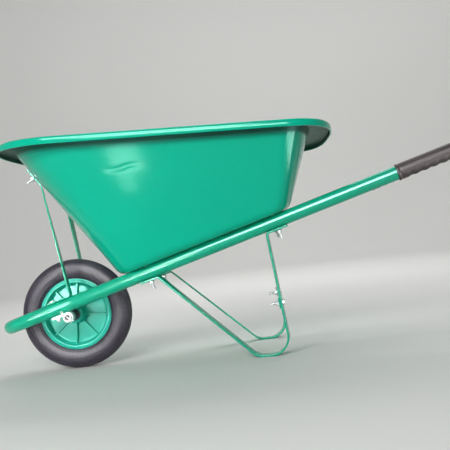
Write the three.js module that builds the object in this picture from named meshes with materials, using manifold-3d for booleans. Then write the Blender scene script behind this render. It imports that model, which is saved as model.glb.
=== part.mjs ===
// A single-wheel garden barrow: a moulded tray on one bent steel tube that runs round the wheel.
// Millimetres. +X points back to the grips, +Y to the user's right, +Z up, and the ground is z = 0.
import * as THREE from "three";
import { mergeVertices } from "three/addons/utils/BufferGeometryUtils.js";
import { ParametricGeometry } from "three/addons/geometries/ParametricGeometry.js";
import Module from "manifold-3d";

const wasm = await Module();
wasm.setup();

// ---------------------------------------------------------------- driving dimensions
const FACE_GAP = 0.3; // between pieces that are clamped or pressed together
const RUN_GAP = 0.08; // radial running clearance of the bushes on the axle

const FRAME_SLOPE = 15.5; // degrees that the rails rise towards the grips
const RAIL_SPLAY = 7.4; // degrees that each rail opens outwards behind the wheel
const TUBE_DIAMETER = 38;
const TUBE_WALL = 1.6;
const FORK_WIDTH = 180; // between the rails' centres beside the wheel
const NOSE_TO_TYRE = 13; // air between the tyre and the tube's nose
const NOSE_FLAT = 4; // straight length between the nose's two bends
const SPLAY_BEHIND = 24.5; // where the rails start to splay, behind the axle
const SPLAY_BEND = 120; // bend radius of that splay

const GRIP_START = 968; // all lengths along a rail count from its splay
const GRIP_LENGTH = 160;
const GRIP_WALL = 2.6;
const GRIP_END_WALL = 6;
const GRIP_EDGE = 7; // rounding of the closed end

const TYRE_DIAMETER = 320;
const TYRE_WIDTH = 60;
const TYRE_BULGE = 0.42; // widest point, as a share of the tyre's height over the rim
const TYRE_FULLNESS = 0.85; // 1 is an elliptical section, and less is squarer
const TYRE_STEPS = 6; // points up one side
const RIM_FLANGE_DIAMETER = 208;
const RIM_WIDTH = 44;
const RIM_LIP = 4; // width of the lip that holds the tyre
const RIM_LIP_HEIGHT = 7; // lip above the tyre's seat
const RIM_WALL = 4.5; // under the tyre's seat
const PANEL_DRAFT = 6.5; // how far the well narrows from its mouth to the panel
const PANEL_THICKNESS = 5;
const RIB_COUNT = 8;
const RIB_THICKNESS = 4;
const RIB_DEPTH = 26; // across both sides of the panel
const RIB_ROOT = 1.5; // how far a rib's ends reach into the hub and the rim
const RIB_TURN = 6.3; // degrees that the ribs stand turned at rest
const HUB_WALL = 11; // round the bushes
const HUB_LENGTH = 84;
const HUB_CHAMFER = 2;
const HUB_DRAFT = 1.5; // how far the hub swells towards the panel
const RIM_CHAMFER = 1;
const RIM_LEAD_IN = 1.5; // wider chamfer at the well's mouth

const AXLE_DIAMETER = 22;
const AXLE_WALL = 3;
const BUSH_WALL = 3;
const BUSH_LENGTH = 20;
const BUSH_FLANGE = 3; // thickness, and height above the bush
const SPACER_WALL = 3;
const AXLE_WASHER_WIDTH = 3; // washer beyond the axle, all round
const AXLE_WASHER = 2;
const PIN_DIAMETER = 3.2;
const PIN_STANDS = 7; // pin beyond the axle, at either end
const PIN_EYE = 7; // outer diameter of the split pin's eye
const PIN_WIRE = 2.4; // thickness of the eye's wire
const PIN_EYE_SINK = 2; // how far the eye reaches into the stem
const PIN_INSET = 6.2; // pin's centre from the end of the axle
const PIN_TURN = 45; // degrees that the pins lean back from upright

const CLIP_THICKNESS = 3; // strap that hangs the axle under a rail
const CLIP_WIDTH = 25;
const CLIP_BOLT_CLEAR = 15.7; // from the strap's eye to its bolt
const CLIP_TAIL = 14; // strap beyond that bolt

const TRAY_LENGTH = 901; // overall size of the rim, measured along the rails
const TRAY_HALF_WIDTH = 310;
const TRAY_NOSE = 229; // length of the rim's rounded front
const TRAY_TAIL = 147; // length of the rim's rounded back
const TRAY_NOSE_POWER = 2.4; // how square the ends are: 2 is an ellipse
const TRAY_TAIL_POWER = 3;
const TRAY_FRONT_OVERHANG = 185; // rim ahead of the floor
const RIM_SIDE = 28; // flat rim's width
const RIM_FRONT = 35;
const RIM_BACK = 58;
const RIM_DROP = 20; // height of the rim's turned-down edge
const RIM_ROUND = 7; // rounding along that edge
const TRAY_WALL = 4;
const TRAY_TO_TYRE = 18; // air between the tyre and the tray's front wall
const FLOOR_LENGTH = 522;
const FLOOR_FRONT_MARGIN = 41; // floor beyond the rails' centres, at its front end
const FLOOR_BACK_MARGIN = 41;
const FLOOR_NOSE = 90;
const FLOOR_TAIL = 70;
const FLOOR_NOSE_POWER = 2.6;
const FLOOR_TAIL_POWER = 4;
const FLOOR_CORNER = 24; // rounding between floor and walls
const TRAY_DEPTH_FRONT = 397; // rim above the floor's front end
const TRAY_DEPTH_BACK = 231; // rim above the floor's back end

const FRONT_BOLT_INSET = 88.5; // from the front end of the tray's floor
const BACK_BOLT_INSET = 52.7; // from its back end

const LEG_THICKNESS = 5;
const LEG_WIDTH = 30;
const LEG_FLANGE_END = 27; // flange beyond its bolt, away from the leg
const LEG_FLANGE_FRONT = 25; // front bolt to the bend
const LEG_FLANGE_BACK = 33; // back bolt to the bend
const LEG_BEND = 9; // radius on the strip's middle
const FOOT_AHEAD = 178; // toe's corner, behind the front bend
const FOOT_SPAN = 91; // from toe to heel
const FOOT_BEND = 50;

const BRACE_HEIGHT = 143; // above the ground
const BRACE_WIDTH = 30;
const BRACE_THICKNESS = 4;
const BRACE_LAP = 8; // straight lap past the leg's inner edge

const STRUT_WIDTH = 25;
const STRUT_THICKNESS = 4;
const STRUT_FOOT_BEHIND = 26; // foot's bend behind the axle
const STRUT_FOOT_END = 13; // foot beyond the clip's bolt
const STRUT_SPREAD = 112; // upper bolt from the middle of the barrow
const STRUT_BELOW_RIM = 52; // upper bolt below the rim, across the rails' plane
const STRUT_TOP_ABOVE = 30; // strap beyond that bolt
const STRUT_TOP_BELOW = 29; // strap from that bolt to the bend

const FOLD_INSET = 0.2; // a fold's rounding stops just inside the bar's edges

const BOLT_DIAMETER = 8;
const BOLT_HOLE = 9;
const NUT_ACROSS_FLATS = 13;
const NUT_HEIGHT = 6.5;
const HEX_HEAD = 5.3;
const CUP_HEAD_DIAMETER = 18;
const CUP_HEAD = 4;
const CUP_DOME = [
  [1, 0.3],
  [0.75, 0.75],
  [0.4, 0.97],
]; // shares of the head's radius and height
const TRAY_WASHER_DIAMETER = 24;
const TRAY_WASHER = 1.5;
const BOLT_TAIL = 25; // thread showing past the clamped pieces
const CLIP_BOLT_TAIL = 11; // the same, on the short bolts at the axle
const DRILL_PAST = 5; // cutter beyond the tube it drills

const ROUND_SIDES = 24;
const TUBE_SIDES = 18;
const BOLT_SIDES = 12;
const PIN_WIRE_SIDES = 8;
const WHEEL_SIDES = 48;

// ---------------------------------------------------------------- values that follow
const rad = THREE.MathUtils.degToRad;
const slope = rad(FRAME_SLOPE);
const splay = rad(RAIL_SPLAY);
const tubeRadius = TUBE_DIAMETER / 2;
const axleRadius = AXLE_DIAMETER / 2;
const tyreRadius = TYRE_DIAMETER / 2;
const forkHalf = FORK_WIDTH / 2;
const noseAhead = tyreRadius + NOSE_TO_TYRE + tubeRadius; // the nose's centre ahead of the axle
const bushRadius = axleRadius + BUSH_WALL;
const hubRadius = bushRadius + HUB_WALL;
const drillReach = tubeRadius + DRILL_PAST;
const seatRadius = RIM_FLANGE_DIAMETER / 2 - RIM_LIP_HEIGHT; // the tyre sits here
const mouthRadius = seatRadius - RIM_WALL; // inner edge of the rim's flange
const panelRadius = mouthRadius - PANEL_DRAFT;
const clipEye = axleRadius + FACE_GAP; // inner radius of the strap's eye
const clipBolt = clipEye + CLIP_THICKNESS + CLIP_BOLT_CLEAR; // ahead of the axle
const clipOutside = forkHalf + CLIP_WIDTH / 2;
const clipInside = forkHalf - CLIP_WIDTH / 2;
const pinAt = clipOutside + FACE_GAP + AXLE_WASHER + FACE_GAP + PIN_DIAMETER / 2;
const axleHalf = pinAt + PIN_INSET;
const pinHalf = axleRadius + PIN_STANDS;
const axleDrop = tubeRadius + FACE_GAP + clipEye + CLIP_THICKNESS; // rails' plane to the axle
const floorBottom = tubeRadius + FACE_GAP;
const floorTop = floorBottom + TRAY_WALL;
const legTop = -(tubeRadius + FACE_GAP);
const legBottom = legTop - LEG_THICKNESS;
const strutBottom = tubeRadius + FACE_GAP;
const strutHeight = TRAY_DEPTH_FRONT - STRUT_BELOW_RIM;
const rimFall = (TRAY_DEPTH_FRONT - TRAY_DEPTH_BACK) / FLOOR_LENGTH;

// The tray's floor starts where its front wall, which leans over the tyre, just clears the tyre.
const wallLean = TRAY_FRONT_OVERHANG - RIM_FRONT;
const wallRise = TRAY_DEPTH_FRONT + rimFall * wallLean;
const clearOfTyre = (tyreRadius + TRAY_TO_TYRE) * Math.hypot(wallLean, wallRise);
const floorAhead = (clearOfTyre - (floorBottom + axleDrop) * wallLean) / wallRise;
const floorEnd = floorAhead + FLOOR_LENGTH;

const alongRail = (x) => (x - SPLAY_BEHIND) / Math.cos(splay);
const railSpread = (x) => forkHalf + (x - SPLAY_BEHIND) * Math.tan(splay);
const frontTrayBolt = alongRail(floorAhead + FRONT_BOLT_INSET);
const backTrayBolt = alongRail(floorEnd - BACK_BOLT_INSET);
const SIDES = [
  { side: "left", hand: -1 },
  { side: "right", hand: 1 },
];

const painted = { color: 0x08ad8c, roughness: 0.35, metalness: 0.1 };
const moulded = { color: 0x0ab293, roughness: 0.3, metalness: 0 };
const mint = { color: 0x5cc9b0, roughness: 0.4, metalness: 0 };
const rubber = { color: 0x453b48, roughness: 0.75, metalness: 0 };
const gripRubber = { color: 0x2c2226, roughness: 0.6, metalness: 0 };
const zinc = { color: 0xd6d8da, roughness: 0.3, metalness: 0.9 };
const nylon = { color: 0x2b2c2d, roughness: 0.5, metalness: 0 };

// ---------------------------------------------------------------- small tools
const vec = (x, y, z = 0) => new THREE.Vector3(x, y, z);

// Radius of a polygon's corners whose flats lie `gap` outside a round piece.
const around = (radius, gap, sides) => (radius + gap) / Math.cos(Math.PI / sides);

function asSolid(geometry) {
  const bare = new THREE.BufferGeometry().setAttribute("position", geometry.getAttribute("position"));
  if (geometry.index) bare.setIndex(geometry.index);
  const merged = mergeVertices(bare, 1e-4);
  return new wasm.Manifold(
    new wasm.Mesh({
      numProp: 3,
      vertProperties: new Float32Array(merged.attributes.position.array),
      triVerts: new Uint32Array(merged.index.array),
    }),
  );
}

function asGeometry(solid) {
  const { vertProperties, triVerts } = solid.getMesh();
  const geometry = new THREE.BufferGeometry();
  geometry.setAttribute("position", new THREE.BufferAttribute(vertProperties, 3));
  geometry.setIndex(new THREE.BufferAttribute(triVerts, 1));
  geometry.computeVertexNormals();
  return geometry;
}

function join(geometries) {
  return asGeometry(geometries.map(asSolid).reduce((whole, piece) => whole.add(piece)));
}

function cut(geometry, cutters) {
  return asGeometry(cutters.map(asSolid).reduce((whole, hole) => whole.subtract(hole), asSolid(geometry)));
}

function addMesh(parent, name, geometry, finish) {
  const mesh = new THREE.Mesh(geometry, new THREE.MeshStandardMaterial(finish));
  mesh.name = name;
  parent.add(mesh);
  return mesh;
}

// Puts a mesh made along +Z at a point, with its +Z turned to a direction.
function aim(mesh, point, direction) {
  mesh.position.copy(point);
  mesh.quaternion.setFromUnitVectors(vec(0, 0, 1), direction.clone().normalize());
  return mesh;
}

function rodZ(radius, low, high, sides) {
  const rod = new THREE.CylinderGeometry(radius, radius, high - low, sides);
  return rod.rotateX(Math.PI / 2).translate(0, 0, (low + high) / 2);
}

// A hole cutter through `point` along `direction`, long enough for the thickest piece.
function drill(point, direction, diameter = BOLT_HOLE) {
  const tool = rodZ(diameter / 2, -drillReach, drillReach, BOLT_SIDES);
  const turn = new THREE.Quaternion().setFromUnitVectors(vec(0, 0, 1), direction.clone().normalize());
  return tool.applyQuaternion(turn).translate(point.x, point.y, point.z);
}

// A ring about Y with a rectangular section.
function ringY(inner, outer, low, high, sides = ROUND_SIDES) {
  const section = [
    new THREE.Vector2(inner, low),
    new THREE.Vector2(outer, low),
    new THREE.Vector2(outer, high),
    new THREE.Vector2(inner, high),
    new THREE.Vector2(inner, low),
  ];
  return new THREE.LatheGeometry(section, sides);
}

// The points of a line with rounded corners: each bend is an arc in `steps` equal parts.
function bentLine(corners, radii, steps) {
  const points = [corners[0].clone()];
  for (let i = 1; i < corners.length - 1; i++) {
    const back = corners[i - 1].clone().sub(corners[i]).normalize();
    const on = corners[i + 1].clone().sub(corners[i]).normalize();
    const turn = Math.PI - back.angleTo(on);
    const radius = radii[i - 1];
    const reach = radius * Math.tan(turn / 2);
    const middle = back.clone().add(on).normalize();
    const centre = corners[i].clone().addScaledVector(middle, radius / Math.cos(turn / 2));
    const first = corners[i].clone().addScaledVector(back, reach).sub(centre);
    const last = corners[i].clone().addScaledVector(on, reach).sub(centre);
    for (let k = 0; k <= steps[i - 1]; k++) {
      const share = k / steps[i - 1];
      const spoke = first.clone().multiplyScalar(Math.sin((1 - share) * turn));
      spoke.addScaledVector(last, Math.sin(share * turn)).divideScalar(Math.sin(turn));
      points.push(centre.clone().add(spoke));
    }
  }
  points.push(corners[corners.length - 1].clone());
  return points.filter((p, i) => i === 0 || p.distanceTo(points[i - 1]) > 1e-3);
}

// A curve straight from point to point, sampled exactly at its points.
class Stations extends THREE.Curve {
  constructor(points) {
    super();
    this.points = points;
  }
  getPoint(t, target = new THREE.Vector3()) {
    const at = THREE.MathUtils.clamp(t, 0, 1) * (this.points.length - 1);
    const i = Math.min(Math.floor(at), this.points.length - 2);
    return target.lerpVectors(this.points[i], this.points[i + 1], at - i);
  }
  getUtoTmapping(u) {
    return u;
  }
}

// The outline of a strip of even thickness along points in the XY plane.
function stripShape(points, thickness) {
  const offset = (side) =>
    points.map((p, i) => {
      const a = points[Math.max(i - 1, 0)];
      const b = points[Math.min(i + 1, points.length - 1)];
      const into = p.clone().sub(a);
      const out = b.clone().sub(p);
      if (i === 0) into.copy(out);
      if (i === points.length - 1) out.copy(into);
      const n1 = vec(-into.y, into.x).normalize();
      const n2 = vec(-out.y, out.x).normalize();
      const mitre = n1.clone().add(n2).normalize();
      const reach = (side * thickness) / 2 / mitre.dot(n1);
      return new THREE.Vector2(p.x + mitre.x * reach, p.y + mitre.y * reach);
    });
  return new THREE.Shape([...offset(-1), ...offset(1).reverse()]);
}

// One straight length of flat bar, its width as near to `across` as a straight bar allows.
function barLength(from, to, across, width, thickness) {
  const along = to.clone().sub(from);
  const length = along.length();
  along.normalize();
  const face = vec(0, 0).crossVectors(along, across).normalize();
  const wide = vec(0, 0).crossVectors(face, along);
  const middle = from.clone().add(to).multiplyScalar(0.5);
  const place = new THREE.Matrix4().makeBasis(along, wide, face).setPosition(middle);
  return new THREE.BoxGeometry(length, width, thickness).applyMatrix4(place);
}

// The rounded outside of a fold between two lengths of flat bar.
function barFold(point, across, width, thickness) {
  const fold = rodZ(thickness / 2, -width / 2, width / 2, BOLT_SIDES);
  const turn = new THREE.Quaternion().setFromUnitVectors(vec(0, 0, 1), across.clone().normalize());
  return fold.applyQuaternion(turn).translate(point.x, point.y, point.z);
}

// Flat bar folded at its inner points; `across` gives the width's direction on each length.
function foldedBar(points, across, width, thickness) {
  const lengths = across.map((wide, i) => barLength(points[i], points[i + 1], wide, width, thickness));
  const folds = across.slice(1).map((wide, i) => {
    const middle = wide.clone().add(across[i]);
    return barFold(points[i + 1], middle, width - 2 * FOLD_INSET, thickness);
  });
  return join([...lengths, ...folds]);
}

// ---------------------------------------------------------------- fasteners
function hexShape(acrossFlats) {
  const corners = Array.from({ length: 6 }, (_, i) => {
    const angle = (i * Math.PI) / 3;
    const radius = acrossFlats / Math.sqrt(3);
    return new THREE.Vector2(radius * Math.cos(angle), radius * Math.sin(angle));
  });
  return new THREE.Shape(corners);
}

// Along +Z: the underside of the head is z = 0 and the shank hangs below it.
function hexBolt(shank) {
  const solidHead = { depth: HEX_HEAD, bevelEnabled: false };
  const head = new THREE.ExtrudeGeometry(hexShape(NUT_ACROSS_FLATS), solidHead);
  return join([head, rodZ(BOLT_DIAMETER / 2, -shank, HEX_HEAD / 2, BOLT_SIDES)]);
}

function cupBolt(shank) {
  const radius = CUP_HEAD_DIAMETER / 2;
  const profile = [
    [0, -shank],
    [BOLT_DIAMETER / 2, -shank],
    [BOLT_DIAMETER / 2, 0],
    [radius, 0],
    ...CUP_DOME.map(([reach, height]) => [radius * reach, CUP_HEAD * height]),
    [0, CUP_HEAD],
  ].map(([r, h]) => new THREE.Vector2(r, h));
  return new THREE.LatheGeometry(profile, BOLT_SIDES).rotateX(Math.PI / 2);
}

function hexNut() {
  const shape = hexShape(NUT_ACROSS_FLATS);
  const radius = around(BOLT_DIAMETER / 2, FACE_GAP, BOLT_SIDES);
  shape.holes.push(new THREE.Path().absarc(0, 0, radius, 0, 2 * Math.PI, true));
  const nut = { depth: NUT_HEIGHT, bevelEnabled: false, curveSegments: BOLT_SIDES / 2 };
  return new THREE.ExtrudeGeometry(shape, nut).translate(0, 0, -NUT_HEIGHT);
}

function flatWasher(outer) {
  const inner = around(BOLT_DIAMETER / 2, FACE_GAP, BOLT_SIDES);
  return ringY(inner, outer / 2, 0, TRAY_WASHER, BOLT_SIDES).rotateX(Math.PI / 2);
}

// Bolt and nut through `stack` of clamped pieces; `point` is on the head's side and `out` points off it.
function clamp(parent, names, point, out, stack, { cup = false, tail = BOLT_TAIL } = {}) {
  const direction = out.clone().normalize();
  const at = (height) => point.clone().addScaledVector(direction, height);
  const seat = names.washer ? TRAY_WASHER + 2 * FACE_GAP : FACE_GAP;
  const shank = seat + stack + tail;
  aim(addMesh(parent, names.bolt, cup ? cupBolt(shank) : hexBolt(shank), zinc), at(seat), direction);
  aim(addMesh(parent, names.nut, hexNut(), zinc), at(-stack - FACE_GAP), direction);
  if (names.washer) {
    aim(addMesh(parent, names.washer, flatWasher(TRAY_WASHER_DIAMETER), zinc), at(FACE_GAP), direction);
  }
}

// ---------------------------------------------------------------- the tray's shape
// Floor, wall top and rim edge are ovals with straight sides: half a squared ellipse at each end.
const floorOval = {
  front: floorAhead,
  back: floorEnd,
  nose: FLOOR_NOSE,
  tail: FLOOR_TAIL,
  frontHalf: railSpread(floorAhead) + FLOOR_FRONT_MARGIN,
  backHalf: railSpread(floorEnd) + FLOOR_BACK_MARGIN,
  nosePower: FLOOR_NOSE_POWER,
  tailPower: FLOOR_TAIL_POWER,
};
const rimOval = {
  front: floorAhead - TRAY_FRONT_OVERHANG,
  back: floorAhead - TRAY_FRONT_OVERHANG + TRAY_LENGTH,
  nose: TRAY_NOSE,
  tail: TRAY_TAIL,
  frontHalf: TRAY_HALF_WIDTH,
  backHalf: TRAY_HALF_WIDTH,
  nosePower: TRAY_NOSE_POWER,
  tailPower: TRAY_TAIL_POWER,
};
const mouthOval = {
  ...rimOval,
  front: rimOval.front + RIM_FRONT,
  back: rimOval.back - RIM_BACK,
  nose: rimOval.nose - RIM_FRONT,
  tail: rimOval.tail - RIM_BACK,
  frontHalf: rimOval.frontHalf - RIM_SIDE,
  backHalf: rimOval.backHalf - RIM_SIDE,
};
const END_STEPS = 20; // points along each rounded end of the tray
const rimNormal = vec(rimFall, 0, 1).normalize();

function onOval(oval, end, bearing) {
  const power = end === "tail" ? oval.tailPower : oval.nosePower;
  const along = Math.abs(Math.cos(bearing)) ** (2 / power);
  const y = Math.sign(Math.sin(bearing)) * Math.abs(Math.sin(bearing)) ** (2 / power);
  const x = end === "tail" ? oval.back - oval.tail * (1 - along) : oval.front + oval.nose * (1 - along);
  const share = (x - oval.front) / (oval.back - oval.front);
  return vec(x, y * THREE.MathUtils.lerp(oval.frontHalf, oval.backHalf, share));
}

const liftToRim = (p) => p.setZ(floorBottom + TRAY_DEPTH_FRONT - rimFall * (p.x - floorAhead));
const floorEdge = (end, bearing) => onOval(floorOval, end, bearing).setZ(floorBottom);
const mouthEdge = (end, bearing) => liftToRim(onOval(mouthOval, end, bearing));
const rimEdge = (end, bearing) => liftToRim(onOval(rimOval, end, bearing));

// A point of the outer wall at one bearing, at a height above the underside of the floor.
function onWall(end, bearing, height) {
  const low = floorEdge(end, bearing);
  const high = mouthEdge(end, bearing);
  return low.clone().lerp(high, height / (high.z - low.z));
}

// Two points of the quarter turn between `from` and `to` round a corner.
function roundCorner(from, corner, to) {
  return [1 / 3, 2 / 3].map((t) => {
    const a = from.clone().lerp(corner, t);
    return a.lerp(corner.clone().lerp(to, t), t);
  });
}

// The tray's section at one bearing: out along the underside, round the rim, back down the inside.
function traySection(end, bearing) {
  const low = floorEdge(end, bearing);
  const high = mouthEdge(end, bearing);
  const edge = rimEdge(end, bearing);
  const up = high.clone().sub(low).normalize();
  const out = edge.clone().sub(high).normalize();
  const down = rimNormal.clone().negate();
  const centre = vec(floorAhead + FLOOR_LENGTH / 2, 0, floorBottom);
  const inward = centre.clone().sub(low).normalize();
  const leanWall = TRAY_WALL / up.z;
  const planOut = vec(out.x, out.y).normalize();
  const inner = (height) => onWall(end, bearing, height).addScaledVector(planOut, -leanWall);
  const innerLow = inner(TRAY_WALL);
  const innerHigh = inner(high.z - low.z);
  const flange = (reach, drop) => edge.clone().addScaledVector(out, -reach).addScaledVector(down, drop);
  const floorFrom = low.clone().addScaledVector(inward, FLOOR_CORNER);
  const wallFrom = low.clone().addScaledVector(up, FLOOR_CORNER);
  const innerCorner = FLOOR_CORNER - TRAY_WALL;
  const innerFloorFrom = innerLow.clone().addScaledVector(inward, innerCorner);
  const innerWallFrom = innerLow.clone().addScaledVector(up, innerCorner);
  const innerTop = innerHigh.clone().addScaledVector(up, -RIM_ROUND);
  const flangeFrom = innerHigh.clone().addScaledVector(out, RIM_ROUND);
  return [
    centre,
    floorFrom,
    ...roundCorner(floorFrom, low, wallFrom),
    wallFrom,
    high.clone().addScaledVector(up, -TRAY_WALL),
    flange(TRAY_WALL, TRAY_WALL),
    flange(TRAY_WALL, RIM_DROP),
    flange(0, RIM_DROP),
    flange(0, RIM_ROUND),
    ...roundCorner(flange(0, RIM_ROUND), edge, flange(RIM_ROUND, 0)),
    flange(RIM_ROUND, 0),
    flangeFrom,
    ...roundCorner(flangeFrom, innerHigh, innerTop),
    innerTop,
    innerWallFrom,
    ...roundCorner(innerWallFrom, innerLow, innerFloorFrom),
    innerFloorFrom,
    centre.clone().setZ(floorTop),
  ];
}

// ---------------------------------------------------------------- places that several pieces share
// A point of the outer front wall as it is made, with flat facets between its sections.
function onFacet(bearing, height) {
  const at = (bearing / Math.PI - 0.5) * END_STEPS;
  const section = (i) => onWall("nose", (i / END_STEPS + 0.5) * Math.PI, height);
  return section(Math.floor(at)).lerp(section(Math.floor(at) + 1), at - Math.floor(at));
}

// The strut's upper bolt: where the front wall is STRUT_SPREAD from the middle, and the way it faces
// there. `swell` is how far the wall stands past a flat strap laid on it, and `hollow` how far its
// inside stands past a flat washer.
function strutSeat(hand) {
  const [halvings, probes, probeStep, margin] = [40, 60, 0.005, 3];
  let [near, far] = [Math.PI, Math.PI / 2];
  for (let i = 0; i < halvings; i++) {
    const middle = (near + far) / 2;
    if (onFacet(middle, strutHeight).y < STRUT_SPREAD) near = middle;
    else far = middle;
  }
  const bearing = (near + far) / 2;
  const point = onFacet(bearing, strutHeight);
  const up = onFacet(bearing, strutHeight + 1).sub(point).normalize();
  const beside = onFacet(bearing - 2 * probeStep, strutHeight).sub(point);
  const out = vec(0, 0).crossVectors(up, beside).normalize();
  let [swell, hollow] = [0, 0];
  for (let i = -probes; i <= probes; i++) {
    for (const share of [-1, -0.5, 0, 0.5, 1]) {
      const rise = share * Math.max(STRUT_TOP_BELOW, STRUT_TOP_ABOVE);
      const past = onFacet(bearing + i * probeStep, strutHeight + rise).sub(point);
      const aside = past.clone().addScaledVector(up, -past.dot(up)).addScaledVector(out, -past.dot(out));
      if (aside.length() < STRUT_WIDTH / 2 + margin) {
        swell = Math.max(swell, past.dot(out));
        hollow = Math.max(hollow, -past.dot(out));
      }
    }
  }
  for (const v of [point, up, out]) v.y *= hand;
  return { point, up, out, swell, hollow };
}

const railToChassis = (hand, s, z) =>
  vec(SPLAY_BEHIND + s * Math.cos(splay), hand * (forkHalf + s * Math.sin(splay)), z);

// Height, across the rails' plane, of a level above the ground at `s` along a rail.
function levelUnderRail(s, height) {
  const origin = tyreRadius + axleDrop * Math.cos(slope);
  const rise = (SPLAY_BEHIND + s * Math.cos(splay)) * Math.sin(slope);
  return (height - origin - rise) / Math.cos(slope);
}

// The middle line of the leg's strip, in the plane of its rail: s along the rail, z across it.
function legCorners() {
  const flange = legTop - LEG_THICKNESS / 2;
  const tilt = (LEG_WIDTH / 2) * Math.sin(splay) * Math.sin(slope); // the strip's low edge
  const sole = (s) => levelUnderRail(s, LEG_THICKNESS / 2 - tilt);
  const front = frontTrayBolt + LEG_FLANGE_FRONT;
  const back = backTrayBolt - LEG_FLANGE_BACK;
  const toe = front + FOOT_AHEAD;
  const heel = toe + FOOT_SPAN;
  return [
    vec(frontTrayBolt - LEG_FLANGE_END, flange),
    vec(front, flange),
    vec(toe, sole(toe)),
    vec(heel, sole(heel)),
    vec(back, flange),
    vec(backTrayBolt + LEG_FLANGE_END, flange),
  ];
}

// Where the brace's bolt crosses the back limb, in the plane of its rail.
function braceSeat() {
  const corners = legCorners();
  const [low, high] = [corners[3], corners[4]];
  const ground = (p) => p.y - levelUnderRail(p.x, 0);
  const height = BRACE_HEIGHT / Math.cos(slope);
  const share = (height - ground(low)) / (ground(high) - ground(low));
  const up = high.clone().sub(low).normalize();
  return { point: low.clone().lerp(high, share), up, ahead: vec(-up.y, up.x) };
}

// ---------------------------------------------------------------- frame
function frameTube() {
  const noseBend = forkHalf - NOSE_FLAT / 2;
  const end = GRIP_START + GRIP_LENGTH - GRIP_END_WALL - FACE_GAP;
  const corners = [
    railToChassis(-1, end, 0),
    railToChassis(-1, 0, 0),
    vec(-noseAhead, -forkHalf),
    vec(-noseAhead, forkHalf),
    railToChassis(1, 0, 0),
    railToChassis(1, end, 0),
  ];
  const middle = bentLine(corners, [SPLAY_BEND, noseBend, noseBend, SPLAY_BEND], [3, 8, 8, 3]);
  const section = new THREE.Shape().absarc(0, 0, tubeRadius, 0, 2 * Math.PI);
  section.holes.push(new THREE.Path().absarc(0, 0, tubeRadius - TUBE_WALL, 0, 2 * Math.PI, true));
  const tube = new THREE.ExtrudeGeometry(section, {
    steps: middle.length - 1,
    curveSegments: TUBE_SIDES / 2, // an arc is drawn in twice this many parts
    extrudePath: new Stations(middle),
  });
  const holes = SIDES.flatMap(({ hand }) => [
    railToChassis(hand, frontTrayBolt, 0),
    railToChassis(hand, backTrayBolt, 0),
    vec(-clipBolt, hand * forkHalf),
  ]).map((p) => drill(p, vec(0, 0, 1)));
  return cut(tube, holes);
}

// Closed at its back end, open towards the wheel; made along +X from the grip's start.
function grip() {
  const inner = around(tubeRadius, FACE_GAP, TUBE_SIDES);
  const outer = tubeRadius + GRIP_WALL;
  const round = Array.from({ length: 4 }, (_, i) => {
    const angle = (i * Math.PI) / 6;
    const back = GRIP_LENGTH - GRIP_EDGE * (1 - Math.sin(angle));
    return [outer - GRIP_EDGE * (1 - Math.cos(angle)), back];
  });
  const profile = [
    [0, GRIP_LENGTH - GRIP_END_WALL],
    [inner, GRIP_LENGTH - GRIP_END_WALL],
    [inner, 0],
    [outer, 0],
    ...round,
    [0, GRIP_LENGTH],
  ].map(([r, h]) => new THREE.Vector2(r, h));
  return new THREE.LatheGeometry(profile, TUBE_SIDES).rotateZ(-Math.PI / 2);
}

function leg(toGround) {
  const middle = bentLine(legCorners(), [LEG_BEND, FOOT_BEND, FOOT_BEND, LEG_BEND], [3, 4, 7, 3]);
  const strip = { depth: LEG_WIDTH, bevelEnabled: false };
  const bar = new THREE.ExtrudeGeometry(stripShape(middle, LEG_THICKNESS), strip);
  bar.translate(0, 0, -LEG_WIDTH / 2).rotateX(Math.PI / 2);
  const seat = braceSeat();
  const up = vec(0, 0, 1);
  const ground = new THREE.BoxGeometry(4000, 4000, 100).translate(0, 0, -50).applyMatrix4(toGround);
  return cut(bar, [
    drill(vec(frontTrayBolt, 0, legTop), up),
    drill(vec(backTrayBolt, 0, legTop), up),
    drill(vec(seat.point.x, 0, seat.point.y), vec(seat.ahead.x, 0, seat.ahead.y)),
    ground,
  ]);
}

// Flat bar across the front faces of the two legs' back limbs, with ends turned to lie flat on them.
function legBrace() {
  const seat = braceSeat();
  const lift = LEG_THICKNESS / 2 + FACE_GAP + BRACE_THICKNESS / 2;
  const face = seat.point.clone().addScaledVector(seat.ahead, lift);
  const ends = SIDES.map(({ hand }) => {
    const outward = vec(-Math.sin(splay), hand * Math.cos(splay));
    const middle = railToChassis(hand, face.x, face.y);
    const along = vec(seat.up.x * Math.cos(splay), hand * seat.up.x * Math.sin(splay), seat.up.y);
    return {
      tip: middle.clone().addScaledVector(outward, LEG_WIDTH / 2),
      fold: middle.clone().addScaledVector(outward, -LEG_WIDTH / 2 - BRACE_LAP),
      along,
      hole: middle,
      ahead: vec(seat.ahead.x * Math.cos(splay), hand * seat.ahead.x * Math.sin(splay), seat.ahead.y),
    };
  });
  const [left, right] = ends;
  const level = left.along.clone().add(right.along).normalize();
  const bar = foldedBar(
    [left.tip, left.fold, right.fold, right.tip],
    [left.along, level, right.along],
    BRACE_WIDTH,
    BRACE_THICKNESS,
  );
  return cut(
    bar,
    ends.map(({ hole, ahead }) => drill(hole, ahead)),
  );
}

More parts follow.
